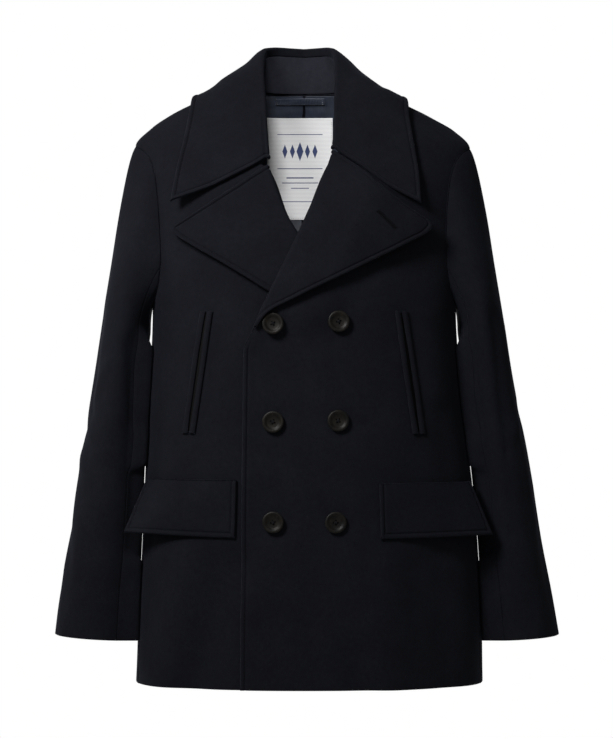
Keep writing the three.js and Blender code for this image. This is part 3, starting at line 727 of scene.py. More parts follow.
def solid_mesh(
    name: str, points: np.ndarray, faces: Sequence[tuple[int, ...]], lie: np.ndarray | None = None
) -> bpy.types.Mesh:
    """Makes a smooth closed mesh that faces out.

    Args:
        name: The mesh's name.
        points: Its points, in metres.
        faces: Their numbers round each face.
        lie: Where each point lies on the flat cloth, in metres.

    Returns:
        The mesh.
    """
    mesh = bpy.data.meshes.new(name)
    mesh.from_pydata(points.tolist(), [], [tuple(int(n) for n in face) for face in faces])
    if lie is not None:
        layer = mesh.uv_layers.new(name="flat")
        corners = np.empty(len(mesh.loops), dtype=np.int32)
        mesh.loops.foreach_get("vertex_index", corners)
        layer.data.foreach_set("uv", lie[corners].astype(np.float32).ravel())
    work = bmesh.new()
    work.from_mesh(mesh)
    if work.calc_volume(signed=True) < 0:
        bmesh.ops.reverse_faces(work, faces=work.faces)
    work.to_mesh(mesh)
    work.free()
    mesh.shade_smooth()
    return mesh


@dataclass(frozen=True)
class Cut:
    """The flat piece that a maker cuts: width and length in metres, and its area if not square."""

    width: float
    length: float
    area: float | None = None


def add_piece(
    name: str, mesh: bpy.types.Mesh, finish: Finish, slot: Slot, *nodes: str
) -> bpy.types.Object:
    """Adds a finished piece that rides on the coat.

    Args:
        name: The piece's name.
        mesh: Its mesh, in place.
        finish: Its material.
        slot: Not used.
        nodes: The CAD nodes that it stands for.

    Returns:
        The object.
    """
    piece = bpy.data.objects.new(name, mesh)
    bpy.context.collection.objects.link(piece)
    mesh.materials.clear()
    mesh.materials.append(finish)
    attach(piece, "root")
    if nodes:
        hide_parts(*nodes)
    log.info("%s: %d faces", name, len(mesh.polygons))
    return piece


def add_cloth(
    node: str,
    cloth: Cloth,
    finish: Finish,
    slot: Slot,
) -> bpy.types.Object:
    """Adds a cloth panel in place of its CAD node."""
    piece = add_piece(f"{node}_cloth", cloth.mesh(f"{node}_cloth"), finish, slot, node)
    return piece


def tube_faces(base: int, sides: int) -> list[tuple[int, ...]]:
    """The faces of a short closed tube of three rings, from the number of its first point."""
    faces: list[tuple[int, ...]] = []
    for ring in range(2):
        for side in range(sides):
            a = base + ring * sides + side
            b = base + ring * sides + (side + 1) % sides
            faces.append((a, b, b + sides, a + sides))
    faces.append(tuple(base + side for side in range(sides))[::-1])
    faces.append(tuple(base + 2 * sides + side for side in range(sides)))
    return faces


def stitches(
    name: str,
    lines: Sequence[tuple[np.ndarray, np.ndarray]],
    finish: Finish,
    length: float = 2.6,
) -> bpy.types.Object:
    """Lays a row of short thread stitches along each line.

    Args:
        name: The piece's name.
        lines: Points of each line and the directions that face out there, in millimetres.
        finish: The thread.
        length: The length of a stitch in millimetres.

    Returns:
        One joined piece.
    """
    gap, thick, sides = 1.3, 0.32, 5
    rise, sink = 0.22, -0.12
    points: list[np.ndarray] = []
    faces: list[tuple[int, ...]] = []
    for line, out in lines:
        gone = np.concatenate([[0], np.cumsum(np.linalg.norm(np.diff(line, axis=0), axis=1))])
        for start in np.arange(gap, gone[-1] - length, length + gap):
            ends = [
                np.array([np.interp(at, gone, line[:, k]) for k in range(3)])
                for at in (start, start + length / 2, start + length)
            ]
            up = unit(np.array([np.interp(start, gone, out[:, k]) for k in range(3)]))
            along = unit(ends[2] - ends[0])
            aside = unit(np.cross(along, up))
            base = len(points)
            for number, end in enumerate(ends):
                lift = rise if number == 1 else sink
                size = thick if number == 1 else thick * 0.55
                for side in range(sides):
                    turn = 2 * math.pi * side / sides
                    spot = end + up * (lift + size * math.sin(turn))
                    points.append(spot + aside * size * math.cos(turn))
            faces += tube_faces(base, sides)
    mesh = solid_mesh(name, settle(np.array(points)) * METRE, faces)
    return add_piece(name, mesh, finish, Slot.MELTON)


def inset_line(
    cloth: Cloth, edge: str, inset: float, start: int = 0, end: int | None = None
) -> tuple[np.ndarray, np.ndarray]:
    """The line on a panel's outer face at an inset from one of its edges.

    Args:
        cloth: The panel.
        edge: The edge, as in Cloth.insets.
        inset: The distance from it in millimetres.
        start: The first row or column of the line.
        end: The last one, or none for all.

    Returns:
        The line's points and the directions that face out.
    """
    out = normals(cloth.points, cloth.sign)
    axis = 0 if edge.endswith("row") else 1
    away = np.moveaxis(cloth.insets(edge), axis, 0)
    points = np.moveaxis(cloth.points, axis, 0)
    facing = np.moveaxis(out, axis, 0)
    nearest = np.argmin(np.abs(away - inset), axis=0)
    across = np.arange(points.shape[1])
    chosen = slice(start, end)
    return points[nearest, across][chosen], facing[nearest, across][chosen]


@dataclass
class Panels:
    """The two fronts and the back, cut to meet at the side seams, shoulders and armholes."""

    front_cut: Cut = Cut(0.37, 0.80, 0.222)
    back_cut: Cut = Cut(0.52, 0.80, 0.385)
    fine: int = 150
    break_rise: float = 4.5

    def heights(self) -> np.ndarray:
        """The heights of the fine rows, closest where the armhole turns."""
        low = np.linspace(HEM, ARMPIT, 100)
        armhole = ARMPIT + (SHOULDER - ARMPIT) * (1 - np.cos(np.linspace(0, math.pi, 70))) / 2
        top = np.linspace(SHOULDER, NECK_END, 30)
        return np.concatenate([low, armhole[1:], top[1:]])

    def front(self, side: Side) -> Cloth:
        """One front, from its free edge to the side seam and the armhole."""
        z = self.heights()[:, None]
        edge = LEFT_FRONT_EDGE if side is Side.LEFT else RIGHT_FRONT_EDGE
        start = BODY.turn_at(edge.at("x", z), z)
        end = side.value * BODY.seam_turn(z, Face.FRONT)
        turn = start + (end - start) * np.linspace(0, 1, self.fine)
        flat = BODY.place(turn, z)[0]
        lift = front_lift(side, flat[..., 0], z)
        if side is Side.LEFT:
            away = np.hypot((flat[..., 0] + 70) / 13, (z + 331) / 15)
            lift = lift + self.break_rise * np.exp(-(away**2))
        points = BODY.place(turn, z, lift)[0]
        insets = EDGE_INSETS if side is Side.LEFT else (0, 1.5, 4)
        points = regrade(points, 62, 1, first=insets, last=(0, 0.8, 2.2))
        sign = -1 if side is Side.RIGHT else 1
        rounds = (EDGE_ROUND, SEAM_ROUND, EDGE_ROUND, SEAM_ROUND)
        cloth = Cloth(points, sign, WOOL, rounds).drawn_back("last_column", SEAM_GAP / 2)
        if side is Side.LEFT:
            below_break = 1 - smoothstep(points[..., 2], BREAK - 15, BREAK)
            cloth = cloth.stitched("first_column", where=below_break)
        return cloth

    def back(self) -> Cloth:
        """The whole back, from one side seam to the other."""
        z = self.heights()[:, None]
        seam = BODY.seam_turn(z, Face.BACK)
        turn = seam + (2 * math.pi - 2 * seam) * np.linspace(0, 1, 2 * self.fine)
        points = regrade(BODY.place(turn, z)[0], 110, 1, first=(0, 0.8, 2.2), last=(0, 0.8, 2.2))
        middle = np.abs(points[..., 0] - BODY.ring("shift", points[..., 2]))
        seam_dip = -1.1 * np.exp(-((middle / 1.6) ** 2)) + 0.4 * np.exp(-(((middle - 5) / 3) ** 2))
        rounds = (EDGE_ROUND, SEAM_ROUND, SEAM_ROUND, SEAM_ROUND)
        cloth = Cloth(points, 1, WOOL, rounds).raised(seam_dip)
        cloth = cloth.drawn_back("first_column", SEAM_GAP / 2)
        return cloth.drawn_back("last_column", SEAM_GAP / 2)

    def build(self, wool: Finish, thread: Finish) -> None:
        """Makes the three panels and the stitching of the lap."""
        left = self.front(Side.LEFT)
        add_cloth("front_left", left, wool, Slot.MELTON)
        add_cloth("front_right", self.front(Side.RIGHT), wool, Slot.MELTON)
        add_cloth("back", self.back(), wool, Slot.MELTON)
        below = int((left.points[:, 0, 2] < BREAK - 10).sum())
        line = inset_line(left, "first_column", GROOVE_INSET, 2, below)
        stitches("stitching_lap", [line], thread)


SLEEVE_RINGS = Table(
    "z rightOut rightHalf leftOut leftHalf midY depth",
    [
        (-200, 246, 31, 243, 30, 11, 74),
        (-245, 254, 33, 251, 31, 12, 75),
        (-327, 266.6, 32.5, 264, 31, 12, 74),
        (-405, 278, 36.5, 277, 34.5, 10, 70),
        (-475, 289, 40.5, 291, 36, 7, 65),
        (-588, 306, 47, 309, 40, 2, 57),
        (-666, 318.5, 51, 323.5, 44.5, -4, 51),
        (-720, 324.5, 53, 333, 47.5, -8, 48),
    ],
    key="z",
)


@dataclass
class Sleeves:
    """Two-piece sleeves, set into the armholes and hanging a little forward."""

    top_cut: Cut = Cut(0.23, 0.64, 0.125)
    under_cut: Cut = Cut(0.14, 0.48, 0.056)
    cap_end: tuple[float, float] = (-245, -322)
    cuff: tuple[float, float] = (-709, -716)
    front_seam: float = math.radians(126)
    back_seam: float = math.radians(-112)
    cap_rows: int = 46
    body_gap: float = 0.8
    # Each press: how far it lies ahead of the side, its reach, and the widest gap that it closes.
    presses: tuple[tuple[float, float, float], ...] = ((20, 24, 22), (40, 15, 30))
    press_easing: float = 13
    press_top: tuple[float, float] = (-345, -305)
    flap_foot: tuple[float, float] = (-612, -600)
    flap_head: tuple[float, float] = (-500, -488)
    arm_rows: int = 84
    right_creases: list[Crease] = field(
        default_factory=lambda: creases(
            [
                (20, -300, 34, -420, -2.4, 13),
                (70, -360, 40, -400, 1.8, 11),
                (-10, -430, 46, -470, -2.2, 12),
                (10, -480, 60, -505, 1.8, 11),
                (-20, -530, 30, -610, -1.8, 14),
                (50, -560, 58, -680, 1.6, 13),
                (-60, -350, -40, -470, 1.8, 16),
                (0, -640, 20, -700, -1.2, 12),
                (120, -330, 140, -430, -2, 14),
                (-130, -400, -120, -560, -2, 16),
            ]
        )
    )
    left_creases: list[Crease] = field(
        default_factory=lambda: creases(
            [
                (40, -310, 52, -440, 2.6, 16),
                (66, -300, 84, -470, -2.6, 13),
                (52, -440, 40, -560, 2.2, 14),
                (10, -420, 56, -462, -1.8, 11),
                (90, -480, 96, -600, -1.8, 14),
                (20, -540, 30, -660, -1.4, 14),
                (60, -600, 66, -700, 1.4, 13),
                (-50, -380, -36, -500, 1.8, 16),
                (130, -340, 144, -440, -2, 14),
                (-130, -420, -116, -580, -2, 16),
            ]
        )
    )

    def loop(self, side: Side) -> tuple[np.ndarray, np.ndarray, np.ndarray]:
        """The armhole on the body, from the shoulder down the front and up the back.

        Args:
            side: The sleeve's side.

        Returns:
            Places, outward directions and the turn of each round the sleeve.
        """
        share = (1 - np.cos(np.linspace(0, math.pi, 64))) / 2
        z = SHOULDER + (ARMPIT - SHOULDER) * share
        halves = []
        for face, way in ((Face.FRONT, 1), (Face.BACK, -1)):
            seam = BODY.seam_turn(z, face)
            seam = np.where((share == 0) | (share == 1), math.pi / 2, seam)
            at, out = BODY.place(side.value * seam, z)
            gone = lengths(at[None], 1)[0]
            halves.append((at, out, way * math.pi * gone / gone[-1]))
        (ahead, ahead_out, ahead_turn), (behind, behind_out, behind_turn) = halves
        back = slice(-2, 0, -1)
        return (
            np.concatenate([ahead, behind[back]]),
            np.concatenate([ahead_out, behind_out[back]]),
            np.concatenate([ahead_turn, behind_turn[back]]),
        )

    def hanging(self, side: Side, turn: np.ndarray, z: np.ndarray) -> np.ndarray:
        """Places on the hanging part, at a turn from its outer line towards its front."""
        out = SLEEVE_RINGS.at(f"{side.word}Out", z)
        half = SLEEVE_RINGS.at(f"{side.word}Half", z)
        depth = SLEEVE_RINGS.at("depth", z)
        x = side.value * (out - half + half * np.cos(turn))
        y = SLEEVE_RINGS.at("midY", z) - depth * np.sin(turn)
        return np.stack([x, y, z + np.zeros_like(x)], axis=-1)

    def whole(self, side: Side) -> tuple[np.ndarray, np.ndarray, np.ndarray]:
        """The sleeve's outer skin as one tube, before it is cut into its two pieces.

        Args:
            side: The sleeve's side.

        Returns:
            Rows of places from the armhole to the cuff, the directions into the wall, and turns.
        """
        at, out, turn = self.loop(side)
        ahead, behind = np.roll(at, -1, axis=0), np.roll(at, 1, axis=0)
        along = unit(ahead - behind)
        across = unit(np.cross(along, out))
        middle = np.array([side.value * 203, 2, -180])
        facing_in = np.sum(across * (middle - at), axis=-1) < 0
        across = np.where(facing_in[:, None], -across, across)
        under = (1 - np.cos(turn)) / 2
        leave_way = unit(
            np.stack(
                [side.value * (0.6 + 0.12 * under), -0.3 * np.sin(turn), -0.8 + 0.18 * under], axis=-1
            )
        )
        start = at + across * (SEAM_GAP * (1 + under))[:, None]
        bend = np.arctan2(-np.sum(leave_way * out, -1), np.sum(leave_way * across, -1))
        swing = np.maximum(0, -bend) / 2
        rim = -out * np.cos(swing)[:, None] + across * np.sin(swing)[:, None]
        cap_end = self.cap_end[0] + (self.cap_end[1] - self.cap_end[0]) * under
        cuff = self.cuff[0] + (self.cuff[1] - self.cuff[0]) * under
        to = self.hanging(side, turn, cap_end)
        after = self.hanging(side, turn, cap_end - 1)
        length = np.linalg.norm(to - start, axis=-1, keepdims=True)
        leave = leave_way * (60 - 38 * under)[:, None]
        arrive = unit(after - to) * length
        rows = [eased(start, to, leave, arrive, share) for share in np.linspace(0, 1, self.cap_rows + 1)]
        for share in np.linspace(0, 1, self.arm_rows + 1)[1:]:
            rows.append(self.hanging(side, turn, cap_end + (cuff - cap_end) * share))
        points = np.stack(rows)
        ring = np.concatenate([points[:, -1:], points, points[:, :1]], axis=1)
        into = -side.value * normals(ring, 1)[:, 1:-1]
        fade = 0.88 ** np.arange(len(rows))[:, None, None]
        into = unit(into * (1 - fade) + rim[None] * fade)
        worn = self.right_creases if side is Side.RIGHT else self.left_creases
        girth = turn[None] * 62
        rise = sum(crease.lift(girth, points[..., 2]) for crease in worn)
        rise = rise + 0.35 * np.sin(girth / 17 + points[..., 2] / 47) * np.sin(points[..., 2] / 31)
        fading = smoothstep(np.arange(len(rows)), 6, 30)[:, None]
        points = points - into * (rise * fading)[..., None]
        return self.pressed(points, side), into, turn

    def pressed(self, points: np.ndarray, side: Side) -> np.ndarray:
        """Lays the sleeve's inner side against the body, a little ahead of its widest line.

        Args:
            points: The sleeve's outer skin.
            side: The sleeve's side.

        Returns:
            The skin, pressed in where it comes near the body; beside the flap only the first press acts.
        """
        points = points.copy()
        for ahead, reach, furthest in self.presses:
            x, y, z = np.moveaxis(points, -1, 0)
            depth = np.where(y < 0, BODY.ring("front", z), BODY.ring("back", z))
            power = BODY.ring("power", z)
            wide = BODY.ring("half", z) * np.clip(1 - np.abs(y / depth) ** power, 0, 1) ** (1 / power)
            skin = side.value * BODY.ring("shift", z) + wide
            gap = side.value * x - skin - self.body_gap
            near = np.exp(-(((y + ahead) / reach) ** 2)) * (1 - smoothstep(z, *self.press_top))
            near = near * (1 - smoothstep(gap, furthest - self.press_easing, furthest))
            if ahead > self.presses[0][0]:
                beside_flap = smoothstep(z, *self.flap_foot) * (1 - smoothstep(z, *self.flap_head))
                near = near * (1 - beside_flap)
            points[..., 0] -= side.value * gap * near
        return points

    def build(self, wool: Finish) -> None:
        """Cuts both sleeves into their top and under pieces."""
        for side in Side:
            points, into, turn = self.whole(side)
            count = len(turn)
            front = int(np.argmin(np.abs(turn - self.front_seam)))
            back = int(np.argmin(np.abs(turn - self.back_seam)))
            pieces = (
                (f"sleeve_under_{side.word}", np.arange(front, back + 1), self.under_cut),
                (f"sleeve_top_{side.word}", np.arange(back, front + count + 1) % count, self.top_cut),
            )
            sign = side.value
            rounds = (SEAM_ROUND, EDGE_ROUND, SEAM_ROUND, SEAM_ROUND)
            for node, picked, cut in pieces:
                cloth = Cloth(points[:, picked], sign, WOOL, rounds, into[:, picked])
                cloth = cloth.drawn_back("first_column", SEAM_GAP / 2)
                cloth = cloth.drawn_back("last_column", SEAM_GAP / 2)
                add_cloth(node, cloth, wool, Slot.MELTON)


COLLAR = Table(
    "rightFold leftFold foldY rightZ leftZ rightEdge leftEdge edgeY edgeZ",
    [
        (46, 37.5, -74, -99, -86, 171, 150, -88, -155),
        (49, 41, -60, -66, -58, 164, 148, -68, -111),
        (52, 42, -36, -20, -18, 152, 139, -42, -60),
        (55, 43, -6, 24, 24, 139, 127, 4, -19),
        (52, 40, 28, 47, 47, 120, 111, 54, -27),
        (31, 27, 52, 53, 53, 70, 66, 88, -36),
        (0, 0, 61, 52, 52, 0, 0, 98, -42),
    ],
)
COLLAR_SPAN = 6
STAND_FACE = 3.2


@dataclass
class Collar:
    """The collar: a stand inside the neck and the fall that folds over it."""

    fall_cut: Cut = Cut(0.56, 0.12, 0.063)
    stand_cut: Cut = Cut(0.36, 0.045, 0.0113)
    end: float = 0.985
    stand_end: float = 0.86
    stand_bow: float = 1.2
    fold_depth: float = 11
    droop_right: float = 9
    droop_left: float = 6
    proud: float = 2

    def line(self, station: np.ndarray) -> tuple[np.ndarray, np.ndarray]:
        """The fold's and the outer edge's places, from the right front (-1) to the left (1)."""
        row = (1 - np.abs(station)) * COLLAR_SPAN
        sign = np.where(station < 0, -1, 1)

        def sided(column: str) -> np.ndarray:
            right = COLLAR.at(f"right{column}", row)
            return np.where(station < 0, right, COLLAR.at(f"left{column}", row))

        fold = np.stack([sign * sided("Fold"), COLLAR.at("foldY", row), sided("Z")], -1)
        edge = np.stack([sign * sided("Edge"), COLLAR.at("edgeY", row), COLLAR.at("edgeZ", row)], -1)
        return fold, edge

    def frame(self, station: np.ndarray) -> tuple[np.ndarray, np.ndarray, np.ndarray, np.ndarray]:
        """The fold, the edge, and the ways out from the neck and up off the coat."""
        fold, edge = self.line(station)
        along = unit(self.line(station + 0.02)[0] - self.line(station - 0.02)[0])
        lean = math.radians(55) * smoothstep(np.abs(station), 0, 0.6)
        up = np.stack([np.zeros_like(lean), -np.sin(lean), np.cos(lean)], -1)
        up = unit(up - along * np.sum(up * along, -1, keepdims=True))
        out = np.cross(along, up)
        away = np.sum(out * (edge - fold), -1, keepdims=True) < 0
        return fold, edge, np.where(away, -out, out), up

    def depth(self, station: np.ndarray) -> np.ndarray:
        """How deep the fall reaches inside the neck before its seam with the stand."""
        share = np.abs(station) ** 3
        return self.fold_depth * (1 - share) + 4 * share

    def fall(self) -> Cloth:
        """The fall, from its seam inside the neck over the fold to its outer edge."""
        station = np.linspace(-self.end, self.end, 220)
        fold, edge, out, up = self.frame(station)

        def spot(right: float, rise: np.ndarray | float) -> np.ndarray:
            return fold + out * right + up * np.broadcast_to(rise, station.shape)[:, None]

        deep = self.depth(station)
        roll = [spot(-STAND_FACE, -deep * s - 3.2 * (1 - s)) for s in (1, 0.66, 0.33, 0)]
        for turn in np.linspace(0.2, 1, 6):
            angle = turn * math.pi / 2
            roll.append(spot(-STAND_FACE * math.cos(angle), -3.2 * (1 - math.sin(angle))))
        roll.append(spot(1.3, -0.12))
        roll.append(spot(2.6, -0.5))
        reach = edge - fold
        size = np.linalg.norm(reach, axis=-1, keepdims=True)
        lean = unit(out * 0.2 - up)
        leave = reach * 0.55 + out * size * 0.28
        arrive = reach * 0.88 + lean * size * 0.14
        droop = np.where(station < 0, self.droop_right, self.droop_left)
        droop = smoothstep(np.abs(station), 0.78, 1) * droop
        start = roll[-1]
        laid = []
        for share in np.linspace(0, 1, 61)[1:]:
            at = eased(start, edge, leave, arrive, share)
            at[:, 2] -= droop * math.sin(math.pi * share**0.7)
            laid.append(BODY.clear(at, FALL_WALL + 1 + self.proud * share))
        points = np.stack(roll + laid, axis=1)
        points[:, 12:] = regrade(points[:, 12:], 59, 1)
        points = regrade(points, 150, 0, first=EDGE_INSETS, last=EDGE_INSETS)
        points[:, 12:] = self.edge_graded(points[:, 12:])
        cloth = Cloth(points, -1, FALL_WALL)
        return cloth.stitched("last_column", "first_row", "last_row")

    def edge_graded(self, points: np.ndarray) -> np.ndarray:
        """Lays the rows of the fall so that they are close together at its outer edge."""
        return regrade(points, points.shape[1] - len(EDGE_INSETS), 1, last=EDGE_INSETS)

    def neck_seam(self, station: np.ndarray) -> np.ndarray:
        """The neck seam: along the front edges, then round the back of the neck."""
        sign = np.where(station < 0, -1, 1)
        away = np.abs(station)
        turn = math.pi - sign * (math.pi / 2) * (away / 0.5)
        behind = BODY.place(turn, np.full_like(station, NECK_END + SEAM_GAP))[0]
        share = np.clip((away - 0.5) / 0.5, 0, 1)
        fronts = []
        for side, low, edge in ((Side.RIGHT, -98, RIGHT_FRONT_EDGE), (Side.LEFT, -84, LEFT_FRONT_EDGE)):
            z = NECK_END + (low - NECK_END) * share
            x = edge.at("x", z) - side.value * (WOOL + 0.8)
            fronts.append(BODY.front(x, z, front_lift(side, x, z)))
        ahead = np.where((station < 0)[:, None], fronts[0], fronts[1])
        return np.where((away <= 0.5)[:, None], behind, ahead)

    def stand(self) -> Cloth:
        """The stand, between the neck seam and its seam with the fall."""
        station = np.linspace(-self.stand_end, self.stand_end, 120)
        fold, _, out, up = self.frame(station)
        top = fold - out * STAND_FACE - up * (self.depth(station) + SEAM_GAP)[:, None]
        foot = self.neck_seam(station) + np.array([0, 0, SEAM_GAP])
        share = np.linspace(0, 1, 15)[None, :, None]
        bow = self.stand_bow * np.sin(math.pi * share)
        points = foot[:, None] * (1 - share) + top[:, None] * share - out[:, None] * bow
        into = np.broadcast_to(out[:, None], points.shape)
        rounds = (SEAM_ROUND, SEAM_ROUND, SEAM_ROUND, SEAM_ROUND)
        return Cloth(points, 1, WOOL, rounds, into)

    def build(
        self, wool: Finish, facing: Finish, thread: Finish
    ) -> None:
        """Makes the fall, the stand and the stitching of the fall's edge."""
        fall = self.fall()
        add_cloth("collar_fall", fall, wool, Slot.MELTON)
        add_cloth("collar_stand", self.stand(), facing, Slot.MELTON)
        stitches("stitching_collar", [inset_line(fall, "last_column", GROOVE_INSET, 10, -10)], thread)


LEFT_LAPEL = Table(
    "rollX rollZ edgeX edgeZ",
    [
        (36, -86, 150, -179),
        (33, -97, 154, -187),
        (29, -109, 149, -195),
        (21, -129, 122, -211),
        (8, -161, 87, -230),
        (-10, -201, 45, -252),
        (-32, -247, -8, -277),
        (-52, -288, -44, -295),
        (-63, -312, -58.5, -313),
    ],
)
RIGHT_LAPEL = Table(
    "rollX rollZ edgeX edgeZ",
    [
        (-45.5, -106, -159, -185),
        (-42.5, -113, -162, -191),
        (-38, -124, -157, -197),
        (-30, -146, -135, -212),
        (-18, -175, -104, -231),
        (-3, -199, -72, -251),
        (6, -213, -47, -267),
        (13, -224, -24, -281),
    ],
)


@dataclass
class Lapels:
    """The lapels, turned back at the roll line, with stitched edges and one buttonhole."""

    left_cut: Cut = Cut(0.16, 0.26, 0.0165)
    right_cut: Cut = Cut(0.16, 0.19, 0.0165)
    stand_off: dict[Side, float] = field(default_factory=lambda: {Side.LEFT: 11, Side.RIGHT: 6})
    hole_from: tuple[float, float] = (93, -165)
    hole_to: tuple[float, float] = (117, -188)

    def cloth(self, side: Side) -> Cloth:
        """One lapel, rows from the notch to the break."""
        table = LEFT_LAPEL if side is Side.LEFT else RIGHT_LAPEL
        down = np.linspace(0, len(table.places) - 1, 160)
        roll = np.stack([table.at("rollX", down), table.at("rollZ", down)], -1)
        edge = np.stack([table.at("edgeX", down), table.at("edgeZ", down)], -1)
        reach = np.linalg.norm(edge - roll, axis=-1)
        start = np.minimum(ROLL_RADIUS, reach * 0.7)
        turned = (1 - np.cos(np.linspace(0, math.pi / 2, 12)))[None] * start[:, None]
        flat = start[:, None] + (reach - start)[:, None] * np.linspace(0, 1, 90)[None, 1:]
        inset = np.concatenate([turned, flat], axis=1)
        spot = roll[:, None] + (edge - roll)[:, None] * (inset / reach[:, None])[..., None]
        short = np.maximum(0, start[:, None] - inset)
        rolled = np.sqrt(np.maximum(0, start[:, None] ** 2 - short**2)) * ROLL_RADIUS / start[:, None]
        proud = self.stand_off[side] * np.maximum(0, inset - start[:, None]) / 120
        lift = front_lift(side, spot[..., 0], spot[..., 1]) + 1.8 + rolled + proud
        bowl = np.sin(math.pi * np.clip(inset / reach[:, None], 0, 1)) * np.minimum(reach, 90)[:, None] / 90
        points = BODY.front(spot[..., 0], spot[..., 1], lift + 1.4 * bowl)
        points = regrade(points, 110, 0, first=EDGE_INSETS, last=(0, 1.5))
        points[:, 11:] = regrade(points[:, 11:], 90 - len(EDGE_INSETS), 1, last=EDGE_INSETS)
        cloth = Cloth(points, -side.value, LAPEL_WALL)
        return cloth.stitched("last_column", "first_row")

    def buttonhole(self, cloth: Cloth, slit: Finish, thread: Finish) -> None:
        """The buttonhole of the left lapel: a narrow slit with closely worked edges."""
        start, end = np.array(self.hole_from), np.array(self.hole_to)
        flat = cloth.points[..., [0, 2]].reshape(-1, 2)
        facing = normals(cloth.points, cloth.sign).reshape(-1, 3)
        skin = cloth.points.reshape(-1, 3)

        def on_lapel(spot: np.ndarray) -> tuple[np.ndarray, np.ndarray]:
            near = np.argsort(np.linalg.norm(flat - spot, axis=1))[:4]
            weight = 1 / (np.linalg.norm(flat[near] - spot, axis=1) + 0.05)
            weight /= weight.sum()
            y = (skin[near, 1] * weight).sum()
            return np.array([spot[0], y, spot[1]]), unit((facing[near] * weight[:, None]).sum(0))

        way = (end - start) / np.linalg.norm(end - start)
        aside = np.array([-way[1], way[0]])
        steps = 42
        points: list[np.ndarray] = []
        faces: list[tuple[int, ...]] = []
        lines = []
        for share in np.linspace(0, 1, steps):
            width = 0.75 * math.sqrt(max(0.02, 1 - (2 * share - 1) ** 4))
            for across, lift in ((-1, -0.1), (0, 0.22), (1, -0.1)):
                at, out = on_lapel(start + (end - start) * share + aside * across * width)
                points.append(at + out * lift)
        for row in range(steps - 1):
            for column in range(2):
                a = row * 3 + column
                faces.append((a, a + 1, a + 4, a + 3))
        base = len(points)
        lowered = [point + np.array([0, 0.5, 0]) for point in points]
        points += lowered
        faces += [tuple(base + n for n in face[::-1]) for face in faces]
        border = [0, 1, 2] + [row * 3 + 2 for row in range(1, steps)]
        border += [(steps - 1) * 3 + 1] + [row * 3 for row in range(steps - 1, 0, -1)]
        for a, b in zip(border, border[1:] + border[:1]):
            faces.append((a, base + a, base + b, b))
        # The slit is a near-black strip: painted shade in the cut through the lapel.
        mesh = solid_mesh("buttonhole_slit", np.array(points) * METRE, faces)
        add_piece("buttonhole_slit", mesh, slit, Slot.MELTON)
        for share in np.linspace(0.0, 1, 40):
            for across in (-1, 1):
                centre = start + (end - start) * share
                ends = [on_lapel(centre + aside * across * reach) for reach in (0.8, 1.5, 2.3)]
                lines.append((np.array([e[0] + e[1] * 0.15 for e in ends]), np.array([e[1] for e in ends])))
        worked_edge("buttonhole_thread", lines, thread)

    def build(
        self, wool: Finish, thread: Finish, slit: Finish
    ) -> None:
        """Makes both lapels, their stitching and the buttonhole."""
        left = self.cloth(Side.LEFT)
        right = self.cloth(Side.RIGHT)
        add_cloth("lapel_left", left, wool, Slot.MELTON)
        add_cloth("lapel_right", right, wool, Slot.MELTON)
        for name, cloth in (("left", left), ("right", right)):
            line = inset_line(cloth, "last_column", GROOVE_INSET, 12, -20)
            notch = inset_line(cloth, "first_row", GROOVE_INSET, 14, -12)
            stitches(f"stitching_lapel_{name}", [line, notch], thread)
        self.buttonhole(left, slit, thread)


def worked_edge(
    name: str, lines: Sequence[tuple[np.ndarray, np.ndarray]], finish: Finish
) -> bpy.types.Object:
    """Short, plump threads laid side by side, as round a worked buttonhole.

    Args:
        name: The piece's name.
        lines: Three points of each thread and the directions that face out there.
        finish: The thread.

    Returns:
        One joined piece.
    """
    sides, thick = 6, 0.33
    points: list[np.ndarray] = []
    faces: list[tuple[int, ...]] = []
    for line, out in lines:
        base = len(points)
        along = unit(line[-1] - line[0])
        aside = unit(np.cross(along, out[1]))
        for number in range(3):
            size = thick if number == 1 else thick * 0.6
            for side in range(sides):
                turn = 2 * math.pi * side / sides
                spot = line[number] + out[number] * size * math.sin(turn)
                points.append(spot + aside * size * math.cos(turn))
        faces += tube_faces(base, sides)
    return add_piece(name, solid_mesh(name, np.array(points) * METRE, faces), finish, Slot.MELTON)


